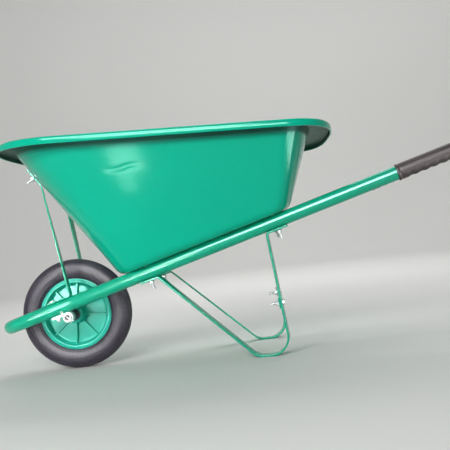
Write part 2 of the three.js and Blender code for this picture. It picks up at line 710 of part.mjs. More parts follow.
// Flat bar from the top of a rail to the tray's front wall.
function strut(hand) {
  const seat = strutSeat(hand);
  const middle = strutBottom + STRUT_THICKNESS / 2;
  const stand = seat.swell + FACE_GAP + STRUT_THICKNESS / 2;
  const onFace = seat.point.clone().addScaledVector(seat.out, stand);
  const sideways = vec(0, 1);
  const beside = vec(0, 0).crossVectors(seat.out, seat.up).multiplyScalar(-hand);
  const points = [
    vec(-clipBolt - STRUT_FOOT_END, hand * forkHalf, middle),
    vec(STRUT_FOOT_BEHIND, hand * forkHalf, middle),
    onFace.clone().addScaledVector(seat.up, -STRUT_TOP_BELOW),
    onFace.clone().addScaledVector(seat.up, STRUT_TOP_ABOVE),
  ];
  if (beside.y < 0) beside.negate();
  const bar = foldedBar(points, [sideways, beside, beside], STRUT_WIDTH, STRUT_THICKNESS);
  return cut(bar, [
    drill(vec(-clipBolt, hand * forkHalf, middle), vec(0, 0, 1)),
    drill(seat.point, seat.out),
  ]);
}

// ---------------------------------------------------------------- tray
function tray() {
  const slices = 2 * (END_STEPS + 1);
  const sections = Array.from({ length: slices }, (_, i) => {
    const inTail = i <= END_STEPS;
    const step = inTail ? i : i - END_STEPS - 1;
    const bearing = (step / END_STEPS + (inTail ? -0.5 : 0.5)) * Math.PI;
    return traySection(inTail ? "tail" : "nose", bearing);
  });
  const stacks = sections[0].length - 1;
  const shell = new ParametricGeometry(
    (u, v, target) => target.copy(sections[Math.round(u * slices) % slices][Math.round(v * stacks)]),
    slices,
    stacks,
  );
  const holes = SIDES.flatMap(({ hand }) => {
    const seat = strutSeat(hand);
    return [
      drill(railToChassis(hand, frontTrayBolt, floorTop), vec(0, 0, 1)),
      drill(railToChassis(hand, backTrayBolt, floorTop), vec(0, 0, 1)),
      drill(seat.point, seat.out),
    ];
  });
  return cut(shell, holes);
}

// ---------------------------------------------------------------- wheel, made about Y
function wheelRim() {
  const half = RIM_WIDTH / 2;
  const lip = half - RIM_LIP;
  const panel = PANEL_THICKNESS / 2;
  const flange = RIM_FLANGE_DIAMETER / 2;
  const bore = around(bushRadius, FACE_GAP, ROUND_SIDES);
  const side = [
    [bore, HUB_LENGTH / 2],
    [hubRadius - HUB_CHAMFER, HUB_LENGTH / 2],
    [hubRadius, HUB_LENGTH / 2 - HUB_CHAMFER],
    [hubRadius + HUB_DRAFT, panel],
    [panelRadius, panel],
    [mouthRadius, half - RIM_CHAMFER],
    [mouthRadius + RIM_LEAD_IN, half],
    [flange - RIM_CHAMFER, half],
    [flange, half - RIM_CHAMFER],
    [flange, lip],
    [seatRadius, lip],
  ];
  const mirrored = side.toReversed().map(([r, y]) => [r, -y]);
  const profile = [...side, ...mirrored, side[0]].map(([r, y]) => new THREE.Vector2(r, y));
  const spun = new THREE.LatheGeometry(profile.toReversed(), WHEEL_SIDES);
  const ribFrom = hubRadius - RIB_ROOT;
  const ribTo = panelRadius + RIB_ROOT;
  const ribs = Array.from({ length: RIB_COUNT }, (_, i) =>
    new THREE.BoxGeometry(ribTo - ribFrom, RIB_DEPTH, RIB_THICKNESS)
      .translate((ribFrom + ribTo) / 2, 0, 0)
      .rotateY(rad(RIB_TURN) + (i * 2 * Math.PI) / RIB_COUNT),
  );
  return join([spun, ...ribs]);
}

// A closed ring: bead between the rim's lips, bulging sidewalls, and a low crown.
function tyre() {
  const bead = RIM_WIDTH / 2 - RIM_LIP - FACE_GAP;
  const seat = around(seatRadius, FACE_GAP, WHEEL_SIDES);
  const overLip = around(RIM_FLANGE_DIAMETER / 2, FACE_GAP, WHEEL_SIDES);
  const height = tyreRadius - overLip;
  const half = TYRE_WIDTH / 2;
  const lowest = -Math.asin(TYRE_BULGE / (1 - TYRE_BULGE));
  const bulge = Array.from({ length: TYRE_STEPS }, (_, i) => {
    const angle = THREE.MathUtils.lerp(lowest, Math.PI / 2, i / TYRE_STEPS);
    const radius = overLip + height * (TYRE_BULGE + (1 - TYRE_BULGE) * Math.sin(angle));
    return [radius, half * Math.cos(angle) ** TYRE_FULLNESS];
  });
  const side = [[seat, bead], [overLip, bead], ...bulge];
  const crown = [[tyreRadius, 0]];
  const mirrored = side.toReversed().map(([r, y]) => [r, -y]);
  const profile = [...side, ...crown, ...mirrored, side[0]].map(([r, y]) => new THREE.Vector2(r, y));
  return new THREE.LatheGeometry(profile.toReversed(), WHEEL_SIDES);
}

// Flanged bush pressed into one end of the hub.
function bush(hand) {
  const inner = around(axleRadius, RUN_GAP, ROUND_SIDES);
  const face = HUB_LENGTH / 2 + FACE_GAP;
  const profile = [
    [inner, face - BUSH_LENGTH],
    [bushRadius, face - BUSH_LENGTH],
    [bushRadius, face],
    [bushRadius + BUSH_FLANGE, face],
    [bushRadius + BUSH_FLANGE, face + BUSH_FLANGE],
    [inner, face + BUSH_FLANGE],
    [inner, face - BUSH_LENGTH],
  ].map(([r, y]) => new THREE.Vector2(r, y));
  return new THREE.LatheGeometry(profile, ROUND_SIDES).rotateZ(hand > 0 ? 0 : Math.PI);
}

// ---------------------------------------------------------------- axle, made about Y
function pinAxis() {
  return vec(Math.sin(rad(PIN_TURN)), 0, -Math.cos(rad(PIN_TURN)));
}

function axle() {
  const pipe = ringY(axleRadius - AXLE_WALL, axleRadius, -axleHalf, axleHalf);
  const hole = 2 * around(PIN_DIAMETER / 2, FACE_GAP, BOLT_SIDES);
  return cut(
    pipe,
    SIDES.map(({ hand }) => drill(vec(0, hand * pinAt), pinAxis(), hole)),
  );
}

function splitPin() {
  const stem = rodZ(PIN_DIAMETER / 2, -pinHalf, pinHalf, BOLT_SIDES);
  const wire = PIN_WIRE / 2;
  const eye = new THREE.TorusGeometry(PIN_EYE / 2 - wire, wire, PIN_WIRE_SIDES, BOLT_SIDES);
  eye.rotateX(Math.PI / 2).translate(0, 0, -pinHalf - PIN_EYE / 2 + PIN_EYE_SINK);
  return join([stem, eye]);
}

// Strap folded round the axle, both tails bolted together under the rail.
function axleClip() {
  const outer = clipEye + CLIP_THICKNESS;
  const tailDepth = 2 * CLIP_THICKNESS;
  const meet = Math.asin((outer - tailDepth) / outer);
  const shape = new THREE.Shape();
  shape.moveTo(-clipBolt - CLIP_TAIL, outer);
  shape.lineTo(-clipBolt - CLIP_TAIL, outer - tailDepth);
  shape.lineTo(-outer * Math.cos(meet), outer - tailDepth);
  shape.absarc(0, 0, outer, Math.PI - meet, Math.PI / 2 + 2 * Math.PI, false);
  shape.closePath();
  const eye = around(clipEye, 0, ROUND_SIDES);
  shape.holes.push(new THREE.Path().absarc(0, 0, eye, 0, 2 * Math.PI, true));
  const strap = { depth: CLIP_WIDTH, bevelEnabled: false, curveSegments: ROUND_SIDES / 2 };
  const geometry = new THREE.ExtrudeGeometry(shape, strap);
  geometry.translate(0, 0, -CLIP_WIDTH / 2).rotateX(Math.PI / 2);
  return cut(geometry, [drill(vec(-clipBolt, 0, outer), vec(0, 0, 1))]);
}

// ---------------------------------------------------------------- assembly
const barrow = new THREE.Group();

const chassis = new THREE.Group();
chassis.position.set(-axleDrop * Math.sin(slope), 0, tyreRadius + axleDrop * Math.cos(slope));
chassis.rotation.y = -slope;
barrow.add(chassis);

const wheel = new THREE.Group();
wheel.position.z = tyreRadius;
barrow.add(wheel);

addMesh(chassis, "tray", tray(), moulded);
addMesh(chassis, "frame_tube", frameTube(), painted);
addMesh(chassis, "leg_brace", legBrace(), painted);

for (const { side, hand } of SIDES) {
  const rail = new THREE.Group();
  rail.position.copy(railToChassis(hand, 0, 0));
  rail.rotation.z = hand * splay;
  chassis.add(rail);
  rail.updateWorldMatrix(true, false);

  addMesh(rail, `grip_${side}`, grip(), gripRubber).position.x = GRIP_START;
  addMesh(rail, `leg_${side}`, leg(rail.matrixWorld.clone().invert()), painted);

  const stack = floorTop - legBottom;
  for (const [end, s] of [
    ["front", frontTrayBolt],
    ["back", backTrayBolt],
  ]) {
    const names = {
      bolt: `tray_bolt_${end}_${side}`,
      nut: `tray_nut_${end}_${side}`,
      washer: `tray_washer_${end}_${side}`,
    };
    clamp(rail, names, vec(s, 0, floorTop), vec(0, 0, 1), stack, { cup: true });
  }

  const seat = braceSeat();
  const behind = seat.point.clone().addScaledVector(seat.ahead, -LEG_THICKNESS / 2);
  const braceNames = { bolt: `brace_bolt_${side}`, nut: `brace_nut_${side}` };
  const braceStack = LEG_THICKNESS + FACE_GAP + BRACE_THICKNESS;
  clamp(rail, braceNames, vec(behind.x, 0, behind.y), vec(-seat.ahead.x, 0, -seat.ahead.y), braceStack);

  addMesh(chassis, `strut_${side}`, strut(hand), painted);
  const wall = strutSeat(hand);
  const inside = wall.point.clone().addScaledVector(wall.out, -TRAY_WALL - wall.hollow);
  const wallNames = {
    bolt: `strut_bolt_${side}`,
    nut: `strut_nut_${side}`,
    washer: `strut_washer_${side}`,
  };
  const wallStack = wall.hollow + TRAY_WALL + wall.swell + FACE_GAP + STRUT_THICKNESS;
  clamp(chassis, wallNames, inside, wall.out.clone().negate(), wallStack, { cup: true });

  const clip = addMesh(chassis, `axle_clip_${side}`, axleClip(), zinc);
  clip.position.set(0, hand * forkHalf, -axleDrop);
  const footTop = strutBottom + STRUT_THICKNESS;
  const clipBottom = -axleDrop + clipEye + CLIP_THICKNESS - 2 * CLIP_THICKNESS;
  const clipNames = { bolt: `clip_bolt_${side}`, nut: `clip_nut_${side}` };
  const clipTop = vec(-clipBolt, hand * forkHalf, footTop);
  const shortBolt = { cup: true, tail: CLIP_BOLT_TAIL };
  clamp(chassis, clipNames, clipTop, vec(0, 0, 1), footTop - clipBottom, shortBolt);

  const hole = around(axleRadius, FACE_GAP, ROUND_SIDES);
  const washerFrom = clipOutside + FACE_GAP;
  const washerRadius = axleRadius + AXLE_WASHER_WIDTH;
  const washer = ringY(hole, washerRadius, washerFrom, washerFrom + AXLE_WASHER);
  const spacerFrom = HUB_LENGTH / 2 + 2 * FACE_GAP + BUSH_FLANGE;
  const spacer = ringY(hole, axleRadius + SPACER_WALL, spacerFrom, clipInside - FACE_GAP);
  for (const ring of [washer, spacer]) ring.rotateZ(hand > 0 ? 0 : Math.PI);
  addMesh(wheel, `axle_washer_${side}`, washer, zinc);
  addMesh(wheel, `spacer_${side}`, spacer, nylon);
  addMesh(wheel, `wheel_bush_${side}`, bush(hand), nylon);
  const pin = addMesh(wheel, `split_pin_${side}`, splitPin(), zinc);
  aim(pin, vec(0, hand * pinAt), pinAxis());
}

addMesh(wheel, "axle", axle(), zinc);
addMesh(wheel, "wheel_rim", wheelRim(), mint);
addMesh(wheel, "tyre", tyre(), rubber);

// The origin is on the ground, under the middle of the barrow's length.
const extent = new THREE.Box3().setFromObject(barrow, true);
barrow.position.x = -(extent.min.x + extent.max.x) / 2;

export default barrow;
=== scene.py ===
import math

import bpy
import numpy as np
from mathutils import Matrix, Vector


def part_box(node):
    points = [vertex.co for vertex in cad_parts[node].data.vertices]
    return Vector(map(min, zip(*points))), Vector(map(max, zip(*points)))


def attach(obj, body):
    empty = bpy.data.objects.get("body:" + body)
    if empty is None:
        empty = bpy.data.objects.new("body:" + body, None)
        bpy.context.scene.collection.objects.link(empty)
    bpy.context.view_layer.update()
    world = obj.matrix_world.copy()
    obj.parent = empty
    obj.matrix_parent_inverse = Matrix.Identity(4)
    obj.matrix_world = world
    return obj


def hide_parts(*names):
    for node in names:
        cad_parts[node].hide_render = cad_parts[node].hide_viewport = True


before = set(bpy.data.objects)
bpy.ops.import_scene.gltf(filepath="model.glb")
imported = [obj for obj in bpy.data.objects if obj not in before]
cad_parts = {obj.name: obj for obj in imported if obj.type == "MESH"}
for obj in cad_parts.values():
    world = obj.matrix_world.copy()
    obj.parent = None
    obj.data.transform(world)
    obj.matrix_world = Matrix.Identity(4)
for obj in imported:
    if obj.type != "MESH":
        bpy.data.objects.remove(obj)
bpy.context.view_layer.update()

# A garden barrow. Lengths here are millimetres and turn into metres as a mesh is made.
# "Along" is the direction of the rails, which rise towards the grips, and "lift" is square to them.

# ---- driving dimensions
MM_PER_M = 1000.0
FACE_GAP = 0.3
FRAME_SLOPE = math.radians(15.5)
RAIL_SPLAY = math.radians(7.4)
TUBE_RADIUS = 19.0
TUBE_WALL = 1.6
FORK_HALF = 90.0
NOSE_AHEAD = 192.0
NOSE_BEND = 88.0
SPLAY_BEHIND = 24.5
SPLAY_BEND = 120.0
GRIP_START = 968.0
GRIP_LENGTH = 160.0
GRIP_WALL = 2.6
GRIP_CAP = 6.2
HOLD_START, HOLD_END = 22.0, 146.0
FINGER_PITCH, FINGER_DEPTH = 26.0, 1.9
RIB_PITCH, RIB_DEPTH = 3.1, 0.28
TYRE_RADIUS = 160.0
TYRE_HALF = 30.0
GROOVE_DEPTH = 1.6
CUT_DEPTH = 1.5
SHOULDER_CUTS = 60
AXLE_RADIUS = 11.0
AXLE_BORE = 8.0
AXLE_LENGTH = 225.8
PIN_INSET = 6.2
PIN_WIRE_RADIUS = 0.8
COLLAR_BORE = AXLE_RADIUS + 0.3
COLLAR_RADIUS = 14.0
SPACER_START = 45.6
CLIP_THICKNESS = 3.0
CLIP_WIDTH = 25.0
CLIP_TAIL = 44.0
CLIP_BOLT_AHEAD = 30.0
TRAY_WALL = 4.0
TRAY_LENGTH = 901.0
TRAY_HALF = 310.0
FLOOR_AHEAD = 170.0
FLOOR_LENGTH = 522.0
FLOOR_HALF = (149.9, 217.7)
FRONT_OVERHANG = 185.0
FLANGE_FRONT = 35.0
FLANGE_SIDE = 28.0
FLANGE_BACK = 58.0
RIM_NOSE = 229.0
RIM_TAIL = 147.0
DEPTH_FRONT = 397.0
DEPTH_BACK = 231.0
RIM_DROP = 20.0
RIM_ROUND = 10.0
FLOOR_CORNER = 24.0
FRONT_TRAY_BOLT = 236.0
BACK_TRAY_BOLT = 620.0
LEG_THICKNESS = 5.0
LEG_WIDTH = 30.0
LEG_FRONT_BEND = FRONT_TRAY_BOLT + 25
LEG_BACK_BEND = BACK_TRAY_BOLT - 33
LEG_FLANGE_END = 27.0
LEG_TOE_BEHIND = 178.0
LEG_SOLE = 91.0
BRACE_HEIGHT = 143.0
BRACE_WIDTH = 30.0
BRACE_THICKNESS = 4.0
BRACE_BEND = 8.0
BRACE_SPAN = 260.0
STRUT_WIDTH = 25.0
STRUT_THICKNESS = 4.0
STRUT_SPREAD = 112.0
STRUT_HEIGHT = 345.0
STRUT_TOE = -43.0
STRUT_BEND = 26.0
STRAP_BELOW = 29.0
STRAP_ABOVE = 30.0
STRUT_OFF_WALL = 1.0
STRUT_BOLT_SPARE = 1.9
STRUT_TWIST_FROM = 60.0
STRUT_TWIST_LENGTH = 230.0
BOLT_RADIUS = 4.0
BOLT_TAIL = 25.0
CLIP_BOLT_TAIL = 11.0
THREAD_PITCH = 1.25
THREAD_DEPTH = 0.62
THREAD_STEPS = 8
CUP_HEAD_RADIUS = 9.0
CUP_HEAD_HEIGHT = 4.0
HEX_HEAD_HEIGHT = 5.3
NUT_ACROSS_FLATS = 13.0
NUT_HEIGHT = 6.5
CHAMFER_SLOPE = 1.73
WASHER_RADIUS = 12.0
WASHER_BORE = 4.4
WASHER_THICKNESS = 1.5
SIDES = (("left", -1.0), ("right", 1.0))
ACROSS = np.array([0.0, 1.0, 0.0])
UPWARD = np.array([0.0, 0.0, 1.0])
VIEW_BEHIND_AXLE = 568.9
VIEW_AWAY, VIEW_HEIGHT = 2.0, 0.3405
VIEW_ROLL = math.radians(-6.3)

clip_eye = AXLE_RADIUS + FACE_GAP
axle_drop = TUBE_RADIUS + FACE_GAP + clip_eye + CLIP_THICKNESS
floor_bottom = TUBE_RADIUS + FACE_GAP
leg_top = -floor_bottom
wheel_low, wheel_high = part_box("tyre")
wheel_x, wheel_z = (wheel_low.x + wheel_high.x) / 2, (wheel_low.z + wheel_high.z) / 2
AXLE = np.array([wheel_x, 0.0, wheel_z]) * MM_PER_M


# ---- shared frames
def rows3(x, y, z):
    """Three arrays, or numbers, as points."""
    return np.stack(np.broadcast_arrays(x, y, z), axis=-1).astype(float)


def unit(v):
    """Vectors over their own lengths."""
    return v / np.linalg.norm(v, axis=-1, keepdims=True)


def chassis(points):
    """Points given as along, across, lift from the rails' plane, turned by the frame's slope."""
    x, y, z = np.moveaxis(np.asarray(points, float), -1, 0)
    s, c = math.sin(FRAME_SLOPE), math.cos(FRAME_SLOPE)
    up = z + axle_drop
    return rows3(AXLE[0] + x * c - up * s, y, AXLE[2] + x * s + up * c)


def rail(points, hand):
    """Points given along one splayed rail, across it and above its middle, in the room's frame."""
    s, w, z = np.moveaxis(np.asarray(points, float), -1, 0)
    c, n = math.cos(RAIL_SPLAY), math.sin(RAIL_SPLAY)
    return chassis(rows3(SPLAY_BEHIND + s * c - w * n, hand * (FORK_HALF + s * n + w * c), z))


def on_axle(points):
    """Points about the axle, with y along it."""
    return np.asarray(points, float) + AXLE


# ---- surfaces
def skin(rows, closed=False):
    """A closed surface through rings of points, one ring per row. Rows join in order; a closed
    skin joins its last row to its first, and any other has each end ring filled to its middle."""
    count, ring, _ = rows.shape
    index = np.arange(count * ring).reshape(count, ring)
    after = np.roll(index, -1, axis=0) if closed else index[1:]
    before = index if closed else index[:-1]
    beside = np.roll(before, -1, axis=1), np.roll(after, -1, axis=1)
    quads = np.stack([before, beside[0], beside[1], after], axis=-1).reshape(-1, 4)
    points = rows.reshape(-1, 3)
    if not closed:
        ends = np.stack([rows[0].mean(axis=0), rows[-1].mean(axis=0)])
        points = np.vstack([points, ends])
        first = [np.full(ring, count * ring), np.roll(index[0], -1), index[0], index[0]]
        last = [np.full(ring, count * ring + 1), index[-1], np.roll(index[-1], -1)]
        last.append(last[-1])
        quads = np.vstack([quads, np.stack(first, axis=-1), np.stack(last, axis=-1)])
    a, b, c, d = (points[quads[:, i]] for i in range(4))
    volume = np.einsum("ij,ij->", a, np.cross(b, c)) + np.einsum("ij,ij->", a, np.cross(c, d))
    return points, quads if volume > 0 else quads[:, ::-1]


def as_polygons(quads):
    """Rows of four corners as lists, with a corner that repeats left out."""
    same = quads == np.roll(quads, 1, axis=1)
    full = quads[~same.any(axis=1)].tolist()
    short, flags = quads[same.any(axis=1)], same[same.any(axis=1)]
    return full + short[~flags].reshape(-1, 3).tolist()


def make_piece(name, skins, finish, body="frame", crease=38):
    """One mesh object from closed skins, shaded smooth except across creases sharper than given."""
    points, faces, start = [], [], 0
    for p, q in skins:
        points.append(p)
        faces += as_polygons(q + start)
        start += len(p)
    mesh = bpy.data.meshes.new(name)
    mesh.from_pydata((np.vstack(points) / MM_PER_M).tolist(), [], faces)
    mesh.shade_smooth()
    mesh.set_sharp_from_angle(angle=math.radians(crease))
    mesh.materials.append(finish)
    piece = bpy.data.objects.new(name, mesh)
    bpy.context.scene.collection.objects.link(piece)
    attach(piece, body)
    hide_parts(name)
    return piece


def bend_line(corners, radii, steps):
    """Straight lines between corners, each inner corner rounded by an arc of the given radius.
    The arc's centre lies on the corner's bisector, radius / cos(half the turn) from the corner."""
    corners = np.asarray(corners, float)
    line = [corners[:1]]
    for i, (radius, count) in enumerate(zip(radii, steps), start=1):
        back, on = unit(corners[i - 1] - corners[i]), unit(corners[i + 1] - corners[i])
        turn = math.pi - math.acos(np.clip(back @ on, -1, 1))
        centre = corners[i] + unit(back + on) * radius / math.cos(turn / 2)
        reach = radius * math.tan(turn / 2)
        first, last = corners[i] + back * reach - centre, corners[i] + on * reach - centre
        share = np.linspace(0, 1, count + 1)[:, None]
        spoke = (np.sin((1 - share) * turn) * first + np.sin(share * turn) * last) / math.sin(turn)
        line.append(centre + spoke)
    line.append(corners[-1:])
    return np.vstack(line)


def subdivide(line, longest):
    """The same line with its straight parts cut so that no step is longer than `longest`."""
    steps = np.linalg.norm(np.diff(line, axis=0), axis=1)
    keep = np.concatenate([[True], steps > 1e-6])
    line, steps = line[keep], steps[steps > 1e-6]
    counts = np.maximum(1, np.ceil(steps / longest)).astype(int)
    parts = [np.linspace(a, b, n, endpoint=False) for a, b, n in zip(line[:-1], line[1:], counts)]
    return np.vstack([*parts, line[-1:]])


def sweep(line, wide, outline):
    """An outline carried along a line: line + x * width + y * face. The face is square to the line's
    direction and to `wide`, and the width is square to the direction and the face."""
    ahead = unit(np.gradient(line, axis=0))
    face = unit(np.cross(ahead, wide))
    across = unit(np.cross(face, ahead))
    x, y = outline[:, 0][None, :, None], outline[:, 1][None, :, None]
    return line[:, None] + x * across[:, None] + y * face[:, None]


def bar_outline(width, thickness, edge=0.9, arc=3):
    """A rectangle with its corners rounded by quarter circles."""
    quarter = np.linspace(0, math.pi / 2, arc + 1)
    corners = []
    for i, (sx, sy) in enumerate([(1, 1), (-1, 1), (-1, -1), (1, -1)]):
        angle = quarter + i * math.pi / 2
        middle = np.array([sx * (width / 2 - edge), sy * (thickness / 2 - edge)])
        corners.append(middle + edge * np.stack([np.cos(angle), np.sin(angle)], axis=-1))
    return np.vstack(corners)


def full_turn(sides):
    """Angles evenly round a circle."""
    return np.arange(sides) * 2 * math.pi / sides


def round_outline(radius, sides):
    """A circle: (radius cos a, radius sin a)."""
    angle = full_turn(sides)
    return radius * np.stack([np.cos(angle), np.sin(angle)], axis=-1)


def spin(profile, sides=64):
    """A profile of radius and height turned round the z axis: (r cos a, r sin a, h)."""
    r, h = np.asarray(profile, float).T[:, :, None]
    angle = full_turn(sides)
    return rows3(r * np.cos(angle), r * np.sin(angle), h + 0 * angle)


def point_along(rows, at, up, turn=0.0):
    """Points made about +z, moved to a place with +z turned to `up`."""
    rotation = Vector((0, 0, 1)).rotation_difference(Vector(up)).to_matrix()
    rotation = np.array(rotation @ Matrix.Rotation(turn, 3, "Z"))
    return rows @ rotation.T + np.asarray(at, float)


def rounded_ring(inner, outer, low, high, edge):
    """A ring's section, radius and height, with quarter-round corners."""
    box = bar_outline(outer - inner, high - low, edge)
    return box + [(inner + outer) / 2, (low + high) / 2]


# ---- fasteners
def thread(low, high, sides=24):
    """A screw thread with its axis along z: the radius is the bolt's, less a depth that falls and
    rises once a pitch, shifted by the turn about the axis so that the groove climbs as a helix.
    Its last millimetre is a cone."""
    steps = int((high - low) / THREAD_PITCH * THREAD_STEPS)
    z = np.linspace(low, high, steps + 1)[:, None]
    angle = full_turn(sides)
    phase = (z / THREAD_PITCH - angle / (2 * math.pi)) % 1.0
    depth = THREAD_DEPTH * np.abs(2 * phase - 1)
    end = np.clip(z - low, 0, 1)
    r = BOLT_RADIUS - np.maximum(depth, 0.9 * (1 - end))
    return rows3(r * np.cos(angle), r * np.sin(angle), z + 0 * angle)


def hex_prism(height, bore=0.0, sides=96):
    """A nut, or a head where there is no bore. At an angle from the middle of a flat, a hexagon's
    side is half its width over cos(angle) away, and a 30 degree cone cuts its free ends."""
    angle = full_turn(sides)
    flat = NUT_ACROSS_FLATS / 2
    from_flat = (angle + math.pi / 6) % (math.pi / 3) - math.pi / 6
    near_end = np.array([0, 0.25, 0.5, 0.8, 1.2])
    z = np.concatenate([near_end, height - near_end[::-1]])[:, None]
    from_end = np.minimum(z, height - z) if bore else height - z
    r = np.minimum(flat / np.cos(from_flat), flat - 0.3 + from_end * CHAMFER_SLOPE)
    outside = rows3(r * np.cos(angle), r * np.sin(angle), z + 0 * angle)
    if not bore:
        return skin(outside)
    inside = np.array([[bore + 0.5, height], [bore, height - 0.5], [bore, 0.5], [bore + 0.5, 0]])
    return skin(np.concatenate([outside, spin(inside, sides)]), closed=True)


def washer_skin():
    """A flat ring turned from a rectangle with rounded corners."""
    section = rounded_ring(WASHER_BORE, WASHER_RADIUS, 0.0, WASHER_THICKNESS, 0.35)
    return skin(spin(section, 56), closed=True)


def cup_head(edge=0.9):
    """A low domed head: a small upright edge, then a quarter ellipse up to the middle."""
    angle = np.linspace(0, math.pi / 2, 9)[:-1]
    up = edge + (CUP_HEAD_HEIGHT - edge) * np.sin(angle)
    dome = np.stack([CUP_HEAD_RADIUS * np.cos(angle), up], axis=-1)
    foot = [[CUP_HEAD_RADIUS - 0.4, 0], [CUP_HEAD_RADIUS, 0.4]]
    return skin(spin(np.vstack([foot, dome]), 48))


def fasten(side_name, kind, head_at, out, stack, hex_head=False, washer=False, tail=BOLT_TAIL):
    """A bolt from its head's seat through `stack` and `tail` beyond it, with its nut on the far side.
    The part of its shank next to the head is plain, and the rest is threaded."""
    out = unit(np.asarray(out, float))
    seat = 2 * FACE_GAP + WASHER_THICKNESS if washer else FACE_GAP
    shank = seat + stack + tail
    plain = max(3.0, stack - 4.0)

    def moved(part, height, turn=0.0):
        points, quads = part
        return point_along(points, head_at + out * height, out, turn), quads

    head = hex_prism(HEX_HEAD_HEIGHT) if hex_head else cup_head()
    stem = skin(spin([[BOLT_RADIUS, -plain], [BOLT_RADIUS, 0.5]], 24))
    screw = skin(thread(-shank, -plain + 0.5))
    bolt = [moved(s, seat, 0.3) for s in (head, stem, screw)]
    make_piece(f"{kind}_bolt_{side_name}", bolt, ZINC, crease=30)
    nut = moved(hex_prism(NUT_HEIGHT, BOLT_RADIUS + 0.1), -stack - FACE_GAP - NUT_HEIGHT, 0.5)
    make_piece(f"{kind}_nut_{side_name}", [nut], ZINC, crease=30)
    if washer:
        ring = moved(washer_skin(), FACE_GAP)
        make_piece(f"{kind}_washer_{side_name}", [ring], ZINC)


# ---- material groups
def new_group(name, inputs, outputs):
    """An empty node group with sockets given as (name, kind, default) and (name, kind)."""
    group = bpy.data.node_groups.new(name, "ShaderNodeTree")
    for label, kind, default in inputs:
        socket = group.interface.new_socket(label, in_out="INPUT", socket_type=f"NodeSocket{kind}")
        if default is not None:
            socket.default_value = default
    for label, kind in outputs:
        group.interface.new_socket(label, in_out="OUTPUT", socket_type=f"NodeSocket{kind}")
    return group, group.nodes.new("NodeGroupInput"), group.nodes.new("NodeGroupOutput")


def node(tree, kind, links=(), **values):
    """A node with its settings, and its input sockets set to values or linked from sockets."""
    made = tree.nodes.new(kind)
    for key, value in values.items():
        setattr(made, key, value)
    for key, value in dict(links).items():
        socket = made.inputs[key]
        if isinstance(value, bpy.types.NodeSocket):
            tree.links.new(value, socket)
        else:
            socket.default_value = value
    return made


def noise(tree, where, scale, detail=3.0, rough=0.5):
    """A noise texture's value."""
    links = {"Vector": where, "Scale": scale, "Detail": detail, "Roughness": rough}
    return node(tree, "ShaderNodeTexNoise", links).outputs["Fac"]


def maths(tree, operation, a, b, clamp=False):
    """One sum of two values or sockets."""
    made = node(tree, "ShaderNodeMath", {0: a, 1: b}, operation=operation, use_clamp=clamp)
    return made.outputs[0]


def spread(tree, value, low, high, to_low=0.0, to_high=1.0):
    """A value mapped from one range to another, and held inside it."""
    links = {"Value": value, "From Min": low, "From Max": high, "To Min": to_low, "To Max": to_high}
    return node(tree, "ShaderNodeMapRange", links).outputs["Result"]


def blend_colour(tree, share, a, b):
    """From colour `a` to colour `b` by a share; a Mix node's colour sockets are 6 and 7."""
    made = node(tree, "ShaderNodeMix", {0: share}, data_type="RGBA")
    for key, value in ((6, a), (7, b)):
        if isinstance(value, bpy.types.NodeSocket):
            tree.links.new(value, made.inputs[key])
        else:
            made.inputs[key].default_value = value
    return made.outputs[2]


def put_out(group, ending, a, b, amount):
    """A group's mask: the product of two masks and an amount."""
    mask = maths(group, "MULTIPLY", maths(group, "MULTIPLY", a, b), amount)
    group.links.new(mask, ending.inputs[0])
    return group


def scuff_group():
    """Fine crossing scratches: noise stretched forty to one along two directions."""
    inputs = [("Vector", "Vector", None), ("Scale", "Float", 60.0), ("Amount", "Float", 0.5)]
    g, i, o = new_group("fine_scuffs", inputs, [("Mask", "Float")])
    masks = []
    for turn in (0.35, -0.8):
        turned = node(g, "ShaderNodeMapping", {"Vector": i.outputs[0], "Rotation": (0.2, turn, 0.4)})
        turned.inputs["Scale"].default_value = (0.06, 1.0, 2.4)
        lines = noise(g, turned.outputs[0], i.outputs[1], 2.0, 0.6)
        masks.append(spread(g, lines, 0.66, 0.78))
    both = maths(g, "MAXIMUM", masks[0], masks[1])
    patches = spread(g, noise(g, i.outputs[0], 7.0), 0.42, 0.62)
    return put_out(g, o, both, patches, i.outputs[2])


def dust_group():
    """Dust that settles on faces that look up, broken up by noise."""
    inputs = [("Vector", "Vector", None), ("Scale", "Float", 30.0), ("Amount", "Float", 0.3)]
    g, i, o = new_group("settled_dust", inputs, [("Mask", "Float")])
    normal = node(g, "ShaderNodeNewGeometry").outputs["Normal"]
    up = node(g, "ShaderNodeSeparateXYZ", {0: normal}).outputs[2]
    facing = spread(g, up, 0.1, 1.0, 0.15, 1.0)
    specks = spread(g, noise(g, i.outputs[0], i.outputs[1], 6.0, 0.65), 0.4, 0.75)
    return put_out(g, o, facing, specks, i.outputs[2])


def edge_group():
    """Wear along edges: where the surface turns sharply, broken up by noise."""
    inputs = [("Vector", "Vector", None), ("Amount", "Float", 0.5)]
    g, i, o = new_group("edge_wear", inputs, [("Mask", "Float")])
    turn = node(g, "ShaderNodeNewGeometry").outputs["Pointiness"]
    edge = spread(g, turn, 0.54, 0.64)
    rough = spread(g, noise(g, i.outputs[0], 90.0, 4.0, 0.7), 0.45, 0.7)
    return put_out(g, o, edge, rough, i.outputs[1])


SCUFFS, DUST, EDGES = scuff_group(), dust_group(), edge_group()


def use(tree, group, where, **values):
    """One of the groups placed in a material with its own values; its mask is what comes out."""
    made = tree.nodes.new("ShaderNodeGroup")
    made.node_tree = group
    tree.links.new(where, made.inputs["Vector"])
    for key, value in values.items():
        made.inputs[key].default_value = value
    return made.outputs["Mask"]


